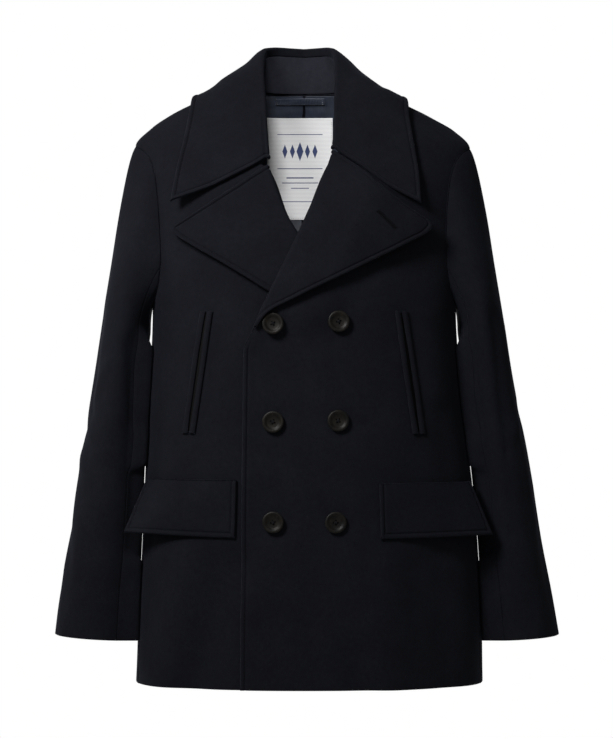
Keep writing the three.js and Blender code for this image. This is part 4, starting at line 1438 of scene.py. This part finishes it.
@dataclass
class Pockets:
    """The jetted openings for the hands and the flaps of the lower pockets."""

    jet_cut: Cut = Cut(0.012, 0.16, 0.0014)
    flap_cut: Cut = Cut(0.16, 0.08, 0.0115)
    jet_width: float = 8.6
    jet_gap: float = 0.8
    plump: float = 1.5
    sewn_down: float = 0.6
    flap_gap: float = 1.1
    mouths: tuple[tuple[Side, float, float, float, float], ...] = (
        (Side.RIGHT, -123, -292, -145.5, -447),
        (Side.LEFT, 121.5, -292, 145, -448),
    )
    flap_rows: dict[Side, tuple[float, float, float, float, float, float]] = field(
        default_factory=lambda: {
            Side.RIGHT: (84, 199, 231, -505, -579, -574),
            Side.LEFT: (93, 210, 242, -509, -580, -577),
        }
    )
    bottom_y: float = -67

    def jet(self, side: Side, ends: tuple[float, float, float, float], way: int) -> Cloth:
        """One folded strip beside an opening.

        Args:
            side: The front's side.
            ends: X and Z at the top, then at the bottom.
            way: 1 to lay it towards +X, -1 towards -X.

        Returns:
            The strip.
        """
        top_x, top_z, bottom_x, bottom_z = ends
        down = np.linspace(0, 1, 90)[:, None]
        inset = np.linspace(0, self.jet_width, 22)[None, :]
        mouth = 0.4 + 1.3 * np.sin(math.pi * down) ** 0.6
        z = top_z + (bottom_z - top_z) * down + np.zeros_like(inset)
        plump = self.plump * np.sin(math.pi * np.clip(inset / self.jet_width, 0, 1))
        plump = plump - self.sewn_down * smoothstep(inset, 6.8, 8.6)
        across = way * (mouth + (self.jet_width - mouth) * inset / self.jet_width)
        x = top_x + (bottom_x - top_x) * down + across
        lift = front_lift(side, x, z) + self.jet_gap + JET_WALL + plump
        points = BODY.front(x, z, lift)
        return Cloth(points, -way, JET_WALL, (0.8, 0.8, 0.9, 0.9))

    def mouth_shadow(self, side: Side, ends: tuple[float, float, float, float]) -> Cloth:
        """The strip that shows between the two jets: the pocket bag's cloth, made near-black as painted
        shade inside the mouth.
        """
        top_x, top_z, bottom_x, bottom_z = ends
        down = np.linspace(0.015, 0.985, 60)[:, None]
        across = np.linspace(-2.4, 2.4, 7)[None, :]
        x = top_x + (bottom_x - top_x) * down + across
        z = top_z + (bottom_z - top_z) * down + np.zeros_like(x)
        points = BODY.front(x, z, front_lift(side, x, z) + 0.65)
        return Cloth(points, -1, 0.4, (0.1, 0.1, 0.1, 0.1))

    def flap(self, side: Side) -> Cloth:
        """One flap: its top edge lies on the front, and its far corner stands out."""
        inner, top, bottom, top_z, bottom_z, far_z = self.flap_rows[side]
        sign = side.value

        def lay(x: np.ndarray, z: float) -> np.ndarray:
            x = np.asarray(x, float)
            height = np.full_like(x, z)
            return BODY.front(x, height, front_lift(side, x, height) + self.flap_gap + FLAP_WALL)

        low, near = lay(np.array([sign * (inner + 2), sign * (inner + 44)]), bottom_z)
        far = np.array([sign * bottom, self.bottom_y, far_z])
        hand = np.array([sign * (bottom - 34), self.bottom_y - 36, far_z])
        share = np.linspace(0, 1, 120)
        b = share[:, None]
        hem = low * (1 - b) ** 3 + near * 3 * b * (1 - b) ** 2 + hand * 3 * b**2 * (1 - b) + far * b**3
        upper = lay(sign * (inner + (top - inner) * share), top_z)
        down = np.linspace(0, 1, 80)[:, None, None]
        points = upper[None] * (1 - down) + hem[None] * down
        points = points + np.array([0, -0.9, 0]) * np.sin(math.pi * down)
        points = regrade(points, 48, 0, first=(0, 0.8, 2), last=EDGE_INSETS)
        points = regrade(points, 84, 1, first=EDGE_INSETS, last=EDGE_INSETS)
        cloth = Cloth(points, -sign, FLAP_WALL)
        return cloth.stitched("last_row", "first_column", "last_column")

    def build(
        self, wool: Finish, dark: Finish, thread: Finish
    ) -> None:
        """Makes the jets, the dark mouths, the flaps and the flaps' stitching."""
        for side, *ends in self.mouths:
            outwards = side.value
            for name, way in (("inner", -outwards), ("outer", outwards)):
                strip = self.jet(side, tuple(ends), way)
                add_cloth(f"jet_{side.word}_{name}", strip, wool, Slot.MELTON)
            mouth = self.mouth_shadow(side, tuple(ends))
            # The mouth strip is pocket-bag cloth, near-black as painted shade of the opening.
            name = f"pocketing_{side.word}"
            add_piece(name, mouth.mesh(name), dark, Slot.MELTON)
        for side in Side:
            flap = self.flap(side)
            add_cloth(f"flap_{side.word}", flap, wool, Slot.MELTON)
            line = inset_line(flap, "last_row", GROOVE_INSET, 12, -12)
            near = inset_line(flap, "first_column", GROOVE_INSET, 2, -12)
            far = inset_line(flap, "last_column", GROOVE_INSET, 2, -12)
            stitches(f"stitching_flap_{side.word}", [line, near, far], thread)


@dataclass
class NeckInside:
    """What shows inside the back of the neck: the lining, the label and the hanging loop."""

    lining_cut: Cut = Cut(0.18, 0.24, 0.040)
    label_cut: Cut = Cut(0.09, 0.137)
    loop_cut: Cut = Cut(0.067, 0.01)
    lining: tuple[float, float, float, float] = (86, -86, -4, -232)
    label: tuple[float, float, float, float] = (38.5, -49.5, -31, -166)
    loop: tuple[float, float, float, float] = (28, -38.5, -4.5, -13.5)
    lining_depth: float = WOOL + 0.8
    label_depth: float = WOOL + 0.8 + LINING_WALL + 0.7
    wrinkles: list[Crease] = field(
        default_factory=lambda: creases(
            [
                (-70, -30, -60, -200, 0.5, 9),
                (62, -30, 54, -210, 0.5, 10),
                (-40, -175, 30, -200, 0.45, 8),
                (0, -12, 40, -26, 0.35, 6),
            ]
        )
    )

    def sheet(
        self, box: tuple[float, float, float, float], depth: float, rows: int, columns: int
    ) -> np.ndarray:
        """Places inside the back, at a depth from the skin.

        Args:
            box: Left, right, top and bottom.
            depth: The depth in millimetres.
            rows: Steps down.
            columns: Steps across.

        Returns:
            The grid, whose rows run down and columns towards the wearer's left.
        """
        left, right, top, bottom = box
        z = np.linspace(top, bottom, rows + 1)[:, None]
        reach = BODY.ring("half", z) * 0.86
        x = np.clip(right + (left - right) * np.linspace(0, 1, columns + 1), -reach, reach)
        z = z + np.zeros_like(x)
        return BODY.place(BODY.turn_at(x, z, Face.BACK), z, -depth)[0]

    def build(
        self, satin: Finish, woven: Finish, thread: Finish
    ) -> None:
        """Makes the lining, the label with its sewn border, and the loop."""
        lining = self.sheet(self.lining, self.lining_depth, 110, 90)
        cloth = Cloth(lining, -1, LINING_WALL, (0.5, 0.5, 0.5, 0.5))
        rise = sum(w.lift(lining[..., 0], lining[..., 2]) for w in self.wrinkles)
        cloth = cloth.raised(0.8 * (rise - 0.5))
        add_cloth("lining_back", cloth, satin, Slot.LINING)
        label = self.sheet(self.label, self.label_depth, 80, 56)
        cloth = Cloth(label, -1, LABEL_WALL, (0.35, 0.35, 0.35, 0.35))
        down = cloth.insets("first_row")
        puckers = 0.16 * np.sin(down / 2.6) * np.exp(-cloth.insets("first_column") / 5)
        puckers += 0.16 * np.sin(down / 2.9) * np.exp(-cloth.insets("last_column") / 5)
        cloth = cloth.raised(puckers)
        add_cloth("label", cloth, woven, Slot.LABEL)
        edges = ("first_row", "last_row", "first_column", "last_column")
        border = [inset_line(cloth, edge, 2.2, 2, -2) for edge in edges]
        stitches("stitching_label", border, thread, length=1.7)
        loop = self.sheet(self.loop, self.label_depth + 1.5, 14, 80)
        across = np.linspace(-1, 1, 15)[:, None]
        twist = np.sin(np.linspace(0, 34 * math.pi, 81) + across * 2.4)
        swell = 0.6 * (1 - across**2) + 0.25 * twist * (1 - across**2)
        cloth = Cloth(loop, -1, 1.6, (0.7, 0.7, 0.5, 0.5)).raised(swell)
        add_cloth("hanger_loop", cloth, satin, Slot.LINING)
        ends = [inset_line(cloth, edge, 2.4, 1, -1) for edge in ("first_column", "last_column")]
        stitches("stitching_loop", ends, thread, length=1.5)


@dataclass
class Buttons:
    """Six rimmed horn buttons with four holes, each held by a crossed thread."""

    radius: float = 13.6
    height: float = 4.2
    shank: float = 2.0
    hole_radius: float = 1.15
    hole_spread: float = 2.5
    thread_radius: float = 0.36
    sides: int = 96
    nodes: tuple[str, ...] = tuple(f"button_{hand}_{row}" for hand in ("left", "right") for row in (1, 2, 3))

    def turn_blank(self) -> bpy.types.Object:
        """Turns the button's rim and dish from a disc, and drills its four holes."""
        deselect()
        thick = (self.height - 0.6) * METRE
        bpy.ops.mesh.primitive_cylinder_add(
            vertices=self.sides, radius=self.radius * METRE, depth=thick, location=(0, 0, thick / 2)
        )
        blank = bpy.context.object
        bpy.ops.object.transform_apply(location=True, rotation=True, scale=True)
        bpy.ops.object.mode_set(mode="EDIT")
        bpy.ops.mesh.select_mode(type="FACE")
        shape = ((1.5, 0.55), (2.0, -0.25), (2.0, -1.25), (1.2, -0.35))
        for inset, rise in shape:
            self.select_top(blank)
            bpy.ops.mesh.inset(thickness=inset * METRE, depth=rise * METRE)
        bpy.ops.object.mode_set(mode="OBJECT")
        bevel = blank.modifiers.new("soft edges", "BEVEL")
        bevel.width = 0.55 * METRE
        bevel.segments = 4
        bevel.limit_method = "ANGLE"
        bevel.angle_limit = math.radians(22)
        bpy.ops.object.modifier_apply(modifier=bevel.name)
        for turn in range(4):
            angle = math.radians(45 + 90 * turn)
            self.drill(blank, angle)
        return blank

    def select_top(self, blank: bpy.types.Object) -> None:
        """Selects only the highest face at the middle of the disc."""
        work = bmesh.from_edit_mesh(blank.data)
        for face in work.faces:
            face.select = False
        flat = [face for face in work.faces if face.normal.z > 0.99]
        middle = min(flat, key=lambda face: face.calc_center_median().xy.length)
        middle.select = True
        work.faces.active = middle
        bmesh.update_edit_mesh(blank.data)

    def drill(self, blank: bpy.types.Object, angle: float) -> None:
        """Cuts one hole through the blank, at an angle round its middle."""
        away = self.hole_spread * METRE
        deselect()
        bpy.ops.mesh.primitive_cylinder_add(
            vertices=28,
            radius=self.hole_radius * METRE,
            depth=20 * METRE,
            location=(away * math.cos(angle), away * math.sin(angle), 0),
        )
        bit = bpy.context.object
        deselect()
        blank.select_set(True)
        bpy.context.view_layer.objects.active = blank
        cut = blank.modifiers.new("hole", "BOOLEAN")
        cut.operation = "DIFFERENCE"
        cut.object = bit
        cut.solver = "EXACT"
        bpy.ops.object.modifier_apply(modifier=cut.name)
        bpy.data.objects.remove(bit)

    def thread_cross(self) -> bpy.types.Object:
        """Winds a crossed thread between the holes, several strands each way."""
        strands: list[bpy.types.Object] = []
        dish = self.height - 0.6 - 1.3
        for turn, lift in ((45, 0.2), (135, 0.62)):
            for aside in (-0.7, 0, 0.7):
                deselect()
                bpy.ops.mesh.primitive_cylinder_add(
                    vertices=10, radius=self.thread_radius * METRE, depth=2 * self.hole_spread * METRE
                )
                strand = bpy.context.object
                bpy.ops.object.mode_set(mode="EDIT")
                bpy.ops.mesh.select_all(action="SELECT")
                bpy.ops.transform.rotate(
                    value=math.pi / 2, orient_axis="Y", center_override=(0, 0, 0)
                )
                bpy.ops.mesh.bisect(plane_co=(0, 0, 0), plane_no=(1, 0, 0))
                bpy.ops.object.mode_set(mode="OBJECT")
                self.bow(strand, math.radians(turn), aside, dish + lift)
                strands.append(strand)
        deselect()
        for strand in strands:
            strand.select_set(True)
        bpy.context.view_layer.objects.active = strands[0]
        bpy.ops.object.join()
        return strands[0]

    def bow(self, strand: bpy.types.Object, turn: float, aside: float, lift: float) -> None:
        """Lays a strand across the button, its ends bent down into two holes."""
        work = bmesh.new()
        work.from_mesh(strand.data)
        long_edges = [e for e in work.edges if abs(e.verts[0].co.x - e.verts[1].co.x) > 1 * METRE]
        bmesh.ops.subdivide_edges(work, edges=long_edges, cuts=4, use_grid_fill=True)
        for vertex in work.verts:
            share = vertex.co.x / (self.hole_spread * METRE)
            vertex.co.z += (lift + 0.35 - 1.5 * abs(share) ** 5) * METRE
            vertex.co.y += aside * METRE * (1 - 0.35 * abs(share))
        bmesh.ops.rotate(work, verts=work.verts, cent=(0, 0, 0), matrix=Matrix.Rotation(turn, 3, "Z"))
        work.to_mesh(strand.data)
        work.free()

    def build(self, horn: Callable[[str], Finish], thread: Finish) -> None:
        """Copies the button and its thread to the six places."""
        blank = self.turn_blank()
        deselect()
        blank.select_set(True)
        bpy.context.view_layer.objects.active = blank
        bpy.ops.object.shade_smooth_by_angle(angle=math.radians(35))
        cross = self.thread_cross()
        for node in self.nodes:
            low, high = (np.array(corner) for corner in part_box(node))
            centre = (low + high) / 2
            x, z = centre[0] / METRE, centre[2] / METRE
            _, out = BODY.place(BODY.turn_at(np.array(x), np.array(z)), np.array(z))
            turn = Vector((0, 0, 1)).rotation_difference(Vector(out)).to_matrix().to_4x4()
            whole = (self.shank + self.height) * METRE
            foot = Vector(centre) - Vector(out) * (whole / 2 - self.shank * METRE)
            spin = Matrix.Rotation(math.radians(9 * len(node) + 37 * int(node[-1])), 4, "Z")
            place = Matrix.Translation(foot) @ turn @ spin
            button = blank.data.copy()
            button.transform(place)
            add_piece(f"{node}_horn", button, horn(node), Slot.HORN, node)
            tied = cross.data.copy()
            tied.transform(place)
            tied.shade_smooth()
            add_piece(f"{node}_thread", tied, thread, Slot.MELTON)
        bpy.data.objects.remove(blank)
        bpy.data.objects.remove(cross)


def deselect() -> None:
    """Leaves nothing selected."""
    for item in bpy.context.selected_objects:
        item.select_set(False)


def linear(colour: str) -> tuple[float, float, float, float]:
    """Turns an sRGB hex value such as 1f2028 into a linear colour."""
    channels = [int(colour[place : place + 2], 16) / 255 for place in (0, 2, 4)]
    return (*(c / 12.92 if c <= 0.04045 else ((c + 0.055) / 1.055) ** 2.4 for c in channels), 1.0)


class Dye:
    """A material's node tree, built one node at a time."""

    def __init__(self, name: str) -> None:
        """Starts a material that has only its output."""
        self.material = bpy.data.materials.new(name)
        self.material.use_nodes = True
        self.tree = self.material.node_tree
        self.tree.nodes.clear()

    def add(self, kind: str, inputs: dict[str | int, Any] | None = None, **settings: Any) -> bpy.types.Node:
        """Adds a node with its settings, and its inputs' values or links.

        Args:
            kind: The node's type.
            inputs: Values, or output sockets to link, by socket name or number.
            settings: The node's own properties.

        Returns:
            The node.
        """
        node = self.tree.nodes.new(kind)
        for name, value in settings.items():
            setattr(node, name, value)
        for socket, value in (inputs or {}).items():
            if isinstance(value, Socket):
                self.tree.links.new(value, node.inputs[socket])
            else:
                node.inputs[socket].default_value = value
        return node

    def ramp(
        self, factor: Socket, marks: Sequence[tuple[float, str]]
    ) -> Socket:
        """A ramp between sRGB colours."""
        node = self.add("ShaderNodeValToRGB", {0: factor})
        elements = node.color_ramp.elements
        while len(elements) < len(marks):
            elements.new(0.5)
        for element, (place, colour) in zip(elements, marks):
            element.position = place
            element.color = linear(colour)
        return node.outputs[0]

    def noise(
        self,
        vector: Socket,
        millimetres: float,
        detail: float = 2,
        roughness: float = 0.5,
    ) -> Socket:
        """Noise whose patches are about a real size across."""
        inputs = {"Vector": vector, "Scale": 1 / (millimetres * METRE)}
        inputs |= {"Detail": detail, "Roughness": roughness}
        return self.add("ShaderNodeTexNoise", inputs).outputs[0]

    def reckon(self, operation: str, *values: Socket | float) -> Socket:
        """One step of arithmetic with values or sockets."""
        return self.add("ShaderNodeMath", dict(enumerate(values)), operation=operation).outputs[0]

    def bump(
        self,
        height: Socket,
        strength: float,
        distance: float,
        normal: Socket | None = None,
    ) -> Socket:
        """Relief from a height, on top of another relief where one is given."""
        inputs = {"Height": height, "Strength": strength, "Distance": distance}
        if normal is not None:
            inputs["Normal"] = normal
        return self.add("ShaderNodeBump", inputs).outputs[0]

    def finish(self, shader: bpy.types.Node) -> Finish:
        """Joins the shader to the material's output."""
        self.add("ShaderNodeOutputMaterial", {"Surface": shader.outputs[0]})
        return self.material


@dataclass(frozen=True)
class WoolMelton:
    """Wool melton, woven, milled and raised until its weave is hidden under a short, dense nap."""

    name: str = "wool_melton_navy"
    deep: str = "18181f"
    body: str = "1c1d24"
    light: str = "22232a"
    fleck: str = "2d2e36"
    sheen: float = 0.14
    sheen_tint: str = "8e93ad"

    def material(self) -> Finish:
        """The nap gives a flat near-black navy with a soft light edge; fibres show as fine flecks."""
        dye = Dye(self.name)
        place = dye.add("ShaderNodeTexCoord").outputs["Object"]
        cloud = dye.noise(place, 46, 3, 0.55)
        mottle = dye.noise(place, 5.5, 4, 0.6)
        # The real fibres are 0.03 mm thick; clumps of 1 mm are the finest that the view can show.
        fibre = dye.noise(place, 1.05, 3, 0.7)
        stretched = dye.add("ShaderNodeMapping", {"Vector": place, "Scale": (1, 1, 0.42)}).outputs[0]
        nap = dye.noise(stretched, 1.9, 4, 0.65)
        worn = dye.reckon("MULTIPLY", cloud, 0.34)
        mixed = dye.reckon("MULTIPLY_ADD", mottle, 0.33, worn)
        mixed = dye.reckon("MULTIPLY_ADD", nap, 0.33, mixed)
        tone = dye.ramp(mixed, ((0.36, self.deep), (0.5, self.body), (0.66, self.light)))
        speck = dye.ramp(fibre, ((0.60, "000000"), (0.74, "8c8c8c")))
        colour = dye.add(
            "ShaderNodeMix", {0: speck, 6: tone, 7: linear(self.fleck)}, data_type="RGBA"
        ).outputs[2]
        rough = dye.add("ShaderNodeMapRange", {0: nap, 3: 0.86, 4: 0.98}).outputs[0]
        soft = dye.bump(mottle, 0.22, 0.0011)
        felt = dye.bump(nap, 0.42, 0.0006, soft)
        fluff = dye.bump(fibre, 0.35, 0.0004, felt)
        shader = dye.add(
            "ShaderNodeBsdfPrincipled",
            {
                "Base Color": colour,
                "Roughness": rough,
                "Normal": fluff,
                "IOR": 1.45,
                "Specular IOR Level": 0.18,
                "Sheen Weight": self.sheen,
                "Sheen Roughness": 0.42,
                "Sheen Tint": linear(self.sheen_tint),
            },
        )
        return dye.finish(shader)


@dataclass(frozen=True)
class SatinLining:
    """Viscose satin, woven with long floats, so that it is smooth and bright along the folds."""

    name: str = "satin_lining_navy"
    deep: str = "1c212c"
    light: str = "2a313f"

    def material(self) -> Finish:
        """The floats give a soft streaked shine across the wrinkles."""
        dye = Dye(self.name)
        flat = dye.add("ShaderNodeTexCoord").outputs["UV"]
        # Threads lie 0.12 mm apart; streaks of 0.8 mm are what the view can show.
        streak = dye.add("ShaderNodeMapping", {"Vector": flat, "Scale": (1, 0.06, 1)}).outputs[0]
        threads = dye.noise(streak, 0.8, 2)
        cloud = dye.noise(flat, 22, 3)
        mixed = dye.reckon("ADD", threads, cloud)
        half = dye.reckon("MULTIPLY", mixed, 0.5)
        colour = dye.ramp(half, ((0.38, self.deep), (0.62, self.light)))
        weave = dye.bump(threads, 0.12, 0.0002)
        rough = dye.add("ShaderNodeMapRange", {0: cloud, 3: 0.34, 4: 0.5}).outputs[0]
        shader = dye.add(
            "ShaderNodeBsdfPrincipled",
            {
                "Base Color": colour,
                "Roughness": rough,
                "Normal": weave,
                "IOR": 1.5,
                "Specular IOR Level": 0.45,
                "Anisotropic": 0.5,
                "Sheen Weight": 0.12,
            },
        )
        return dye.finish(shader)


@dataclass(frozen=True)
class WovenLabel:
    """A damask label of white polyester, with plain woven bars and a row of lozenges in navy."""

    name: str = "damask_label_white"
    white: str = "efefef"
    grey: str = "cfcfd2"
    navy: str = "2c3a66"

    def material(self) -> Finish:
        """The damask gives fine cross ribs; the generic bars and lozenges are woven in."""
        dye = Dye(self.name)
        flat = dye.add("ShaderNodeTexCoord").outputs["UV"]
        parts = dye.add("ShaderNodeSeparateXYZ", {0: flat})
        across, down = parts.outputs[0], parts.outputs[1]

        def within(value: Socket, low: float, high: float) -> Socket:
            """One between two places in millimetres, nought elsewhere."""
            middle, half = (low + high) / 2 * METRE, (high - low) / 2 * METRE
            return dye.reckon("COMPARE", value, middle, half)

        def both(one: Socket, other: Socket, way: str) -> Socket:
            """Joins two masks by MULTIPLY or MAXIMUM."""
            return dye.reckon(way, one, other)

        def bar(left: float, right: float, top: float, bottom: float) -> Socket:
            """A woven bar, placed from the label's middle line and its top edge."""
            return both(within(across, left, right), within(down, top, bottom), "MULTIPLY")

        mask = bar(-30, 30, 22, 23)
        for left, right, top, bottom in (
            (-30, 30, 68, 69),
            (-18, 18, 80, 81.6),
            (-24, 24, 87, 88.2),
            (-12, 12, 94, 95.2),
            (-30, 30, 112, 113),
        ):
            mask = both(mask, bar(left, right, top, bottom), "MAXIMUM")
        for centre in (-20, -10, 0, 10, 20):
            side = dye.reckon("SUBTRACT", across, centre * METRE)
            side = dye.reckon("ABSOLUTE", side)
            rise = dye.reckon("SUBTRACT", down, 45.5 * METRE)
            rise = dye.reckon("ABSOLUTE", rise)
            rise = dye.reckon("MULTIPLY", rise, 0.36)
            away = dye.reckon("ADD", side, rise)
            size = (4.6 if centre == 0 else 3.4) * METRE
            lozenge = dye.reckon("LESS_THAN", away, size)
            mask = both(mask, lozenge, "MAXIMUM")
        # Real ribs lie 0.3 mm apart; 0.9 mm is the closest that the view can show.
        ribs = dye.add(
            "ShaderNodeTexWave",
            {"Vector": flat, "Scale": 1 / (0.9 * METRE) / 6.3, "Distortion": 0.6},
            bands_direction="Y",
        ).outputs["Fac"]
        cloth = dye.ramp(ribs, ((0.1, self.grey), (0.7, self.white)))
        inks = {0: mask, 6: cloth, 7: linear(self.navy)}
        colour = dye.add("ShaderNodeMix", inks, data_type="RGBA").outputs[2]
        bump = dye.bump(ribs, 0.25, 0.0003)
        shader = dye.add(
            "ShaderNodeBsdfPrincipled",
            {"Base Color": colour, "Roughness": 0.55, "Normal": bump, "Sheen Weight": 0.1, "IOR": 1.5},
        )
        return dye.finish(shader)


@dataclass(frozen=True)
class Horn:
    """Buffalo horn, turned and polished by hand, each button cut from its own piece."""

    dark: str = "0d0b09"
    olive: str = "191510"
    pale: str = "28221a"

    def material(self, node: str) -> Finish:
        """Polish gives a soft gloss over clouded brown-black with a few paler streaks."""
        dye = Dye(f"buffalo_horn_{node}")
        place = dye.add("ShaderNodeTexCoord").outputs["Object"]
        turn = 0.6 * int(node[-1]) + (1.1 if "left" in node else 2.3)
        drawn = {"Vector": place, "Rotation": (0, turn, 0), "Scale": (1, 1, 0.28)}
        grain = dye.add("ShaderNodeMapping", drawn).outputs[0]
        streak = dye.noise(grain, 3.6, 4, 0.6)
        cloud = dye.noise(place, 9, 2)
        mixed = dye.reckon("ADD", streak, cloud)
        half = dye.reckon("MULTIPLY", mixed, 0.5)
        colour = dye.ramp(half, ((0.42, self.dark), (0.54, self.olive), (0.68, self.pale)))
        rough = dye.add("ShaderNodeMapRange", {0: streak, 3: 0.38, 4: 0.55}).outputs[0]
        bump = dye.bump(streak, 0.12, 0.0002)
        shader = dye.add(
            "ShaderNodeBsdfPrincipled",
            {
                "Base Color": colour,
                "Roughness": rough,
                "Normal": bump,
                "IOR": 1.54,
                "Specular IOR Level": 0.3,
            },
        )
        return dye.finish(shader)


@dataclass(frozen=True)
class SewingThread:
    """Spun polyester thread, two plies twisted together."""

    name: str
    dark: str
    light: str

    def material(self) -> Finish:
        """The twist gives small light and dark steps along each stitch."""
        dye = Dye(self.name)
        place = dye.add("ShaderNodeTexCoord").outputs["Object"]
        twist = dye.noise(place, 0.7, 2)
        colour = dye.ramp(twist, ((0.35, self.dark), (0.65, self.light)))
        bump = dye.bump(twist, 0.3, 0.0002)
        shader = dye.add(
            "ShaderNodeBsdfPrincipled",
            {
                "Base Color": colour,
                "Roughness": 0.62,
                "Normal": bump,
                "Specular IOR Level": 0.2,
                "IOR": 1.5,
            },
        )
        return dye.finish(shader)


@dataclass(frozen=True)
class PlainPaper:
    """Pale matt studio paper for the floor."""

    name: str = "studio_paper_pale"
    tone: str = "f2f2f2"

    def material(self) -> Finish:
        """A faint grain keeps the floor from looking like plastic."""
        dye = Dye(self.name)
        place = dye.add("ShaderNodeTexCoord").outputs["Object"]
        grain = dye.noise(place, 30, 2)
        colour = dye.ramp(grain, ((0.3, "efefef"), (0.7, self.tone)))
        shader = dye.add("ShaderNodeBsdfPrincipled", {"Base Color": colour, "Roughness": 0.9})
        return dye.finish(shader)


@dataclass
class Studio:
    """A pale floor, a white surround, and soft lights from the viewer's upper left."""

    floor_z: float = -1.45
    floor_half: float = 3.0
    surround: float = 0.1
    key_power: float = 4.6
    fill_power: float = 0.5
    top_power: float = 2.6
    rim_power: float = 8.0
    neck_power: float = 58.0
    front_power: float = 3.2
    back_power: float = 16.0
    middle: tuple[float, float, float] = (0.0, 0.0, -0.36)

    def light(self, name: str, place: tuple[float, float, float], size: float, power: float) -> None:
        """Hangs one square soft light that points at the coat."""
        lamp = bpy.data.lights.new(name, "AREA")
        lamp.size = size
        lamp.energy = power
        holder = bpy.data.objects.new(name, lamp)
        bpy.context.collection.objects.link(holder)
        holder.location = place
        aim = Vector(self.middle) - Vector(place)
        holder.rotation_euler = aim.to_track_quat("-Z", "Y").to_euler()

    def narrow(self, name: str, aim: tuple[float, float, float], spread: float) -> None:
        """Turns a lamp to a place and narrows it, so that its light fades towards the hem."""
        lamp = bpy.data.objects[name]
        lamp.rotation_euler = (Vector(aim) - lamp.location).to_track_quat("-Z", "Y").to_euler()
        lamp.data.spread = math.radians(spread)

    def light_neck(self) -> None:
        """Aims a small lamp at the lining and label, as a studio opens up a dark neck."""
        inside = bpy.data.collections.new("neck_inside")
        for name in ("lining_back_cloth", "label_cloth", "hanger_loop_cloth", "collar_stand_cloth"):
            inside.objects.link(bpy.data.objects[name])
        self.light("neck", (-0.25, -2.6, 0.55), 0.5, self.neck_power)
        self.narrow("neck", (0, 0.08, -0.1), 180)
        bpy.data.objects["neck"].light_linking.receiver_collection = inside

    def build(self) -> None:
        """Lays the floor, hangs the lights and sets the white surround."""
        half = self.floor_half
        corners = [(-half, -half), (half, -half), (half, half), (-half, half)]
        mesh = bpy.data.meshes.new("floor")
        points = [(x, y, self.floor_z) for x, y in corners]
        mesh.from_pydata(points, [], [(0, 1, 2, 3)])
        floor = bpy.data.objects.new("floor", mesh)
        bpy.context.collection.objects.link(floor)
        mesh.materials.append(PlainPaper().material())
        self.light("key", (-0.95, -1.45, 0.75), 0.55, self.key_power)
        self.narrow("key", (-0.14, 0, -0.12), 85)
        self.light("front", (0.3, -3.6, 0.9), 1.2, self.front_power)
        self.light("fill", (2.6, -2.6, -0.2), 2.2, self.fill_power)
        self.light("top", (-0.3, 0.4, 2.4), 1.6, self.top_power)
        self.light("rim", (-2.6, 0.5, 0.3), 1.0, self.rim_power)
        self.light("back", (-0.5, 3.0, 0.4), 2.0, self.back_power)
        bpy.data.objects["back"].visible_camera = False
        self.light_neck()
        world = bpy.data.worlds.new("white_surround")
        bpy.context.scene.world = world
        world.use_nodes = True
        tree = world.node_tree
        tree.nodes.clear()
        shades = []
        for strength in (1.0, self.surround):
            shade = tree.nodes.new("ShaderNodeBackground")
            shade.inputs["Color"].default_value = (1, 1, 1, 1)
            shade.inputs["Strength"].default_value = strength
            shades.append(shade)
        seen, lit = shades
        path = tree.nodes.new("ShaderNodeLightPath")
        mixer = tree.nodes.new("ShaderNodeMixShader")
        out = tree.nodes.new("ShaderNodeOutputWorld")
        tree.links.new(path.outputs["Is Camera Ray"], mixer.inputs[0])
        tree.links.new(lit.outputs[0], mixer.inputs[1])
        tree.links.new(seen.outputs[0], mixer.inputs[2])
        tree.links.new(mixer.outputs[0], out.inputs[0])
        bpy.context.scene.view_settings.view_transform = "Standard"
        bpy.context.scene.view_settings.look = "None"


@dataclass
class Eye:
    """The camera: level, square to the coat, from the distance of a studio picture."""

    place: tuple[float, float, float] = (0.00325, -4.0, -0.3653)
    lens: float = 150.1

    def build(self) -> None:
        """Adds the camera."""
        camera = bpy.data.cameras.new("camera")
        camera.lens = self.lens
        camera.sensor_width = 36
        camera.clip_end = 60
        holder = bpy.data.objects.new("camera", camera)
        bpy.context.collection.objects.link(holder)
        holder.location = self.place
        holder.rotation_euler = (math.pi / 2, 0, 0)
        bpy.context.scene.camera = holder


def main() -> None:
    """Builds the coat, piece by piece, and the studio round it."""
    logging.basicConfig(level=logging.INFO, format="%(message)s")
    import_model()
    deselect()
    Eye().build()
    wool = WoolMelton().material()
    facing = WoolMelton(name="wool_melton_facing", sheen=0.12).material()
    # Near-black cloth for the pocket mouths and the buttonhole slit: pocket-bag cloth darkened past any real
    # cloth as painted shade in the openings.
    pocketing_and_shade = SewingThread("twill_pocketing_black", "060607", "0a0a0c").material()
    navy_thread = SewingThread("polyester_thread_navy", "101016", "1b1b23").material()
    button_thread = SewingThread("polyester_thread_black", "0d0d10", "24242a").material()
    label_thread = SewingThread("polyester_thread_white", "c2c2c4", "dcdcde").material()
    Panels().build(wool, navy_thread)
    Sleeves().build(wool)
    Collar().build(wool, facing, navy_thread)
    Lapels().build(facing, navy_thread, pocketing_and_shade)
    Pockets().build(wool, pocketing_and_shade, navy_thread)
    NeckInside().build(SatinLining().material(), WovenLabel().material(), label_thread)
    Buttons().build(Horn().material, button_thread)
    Studio().build()


if __name__ == "__main__":
    main()
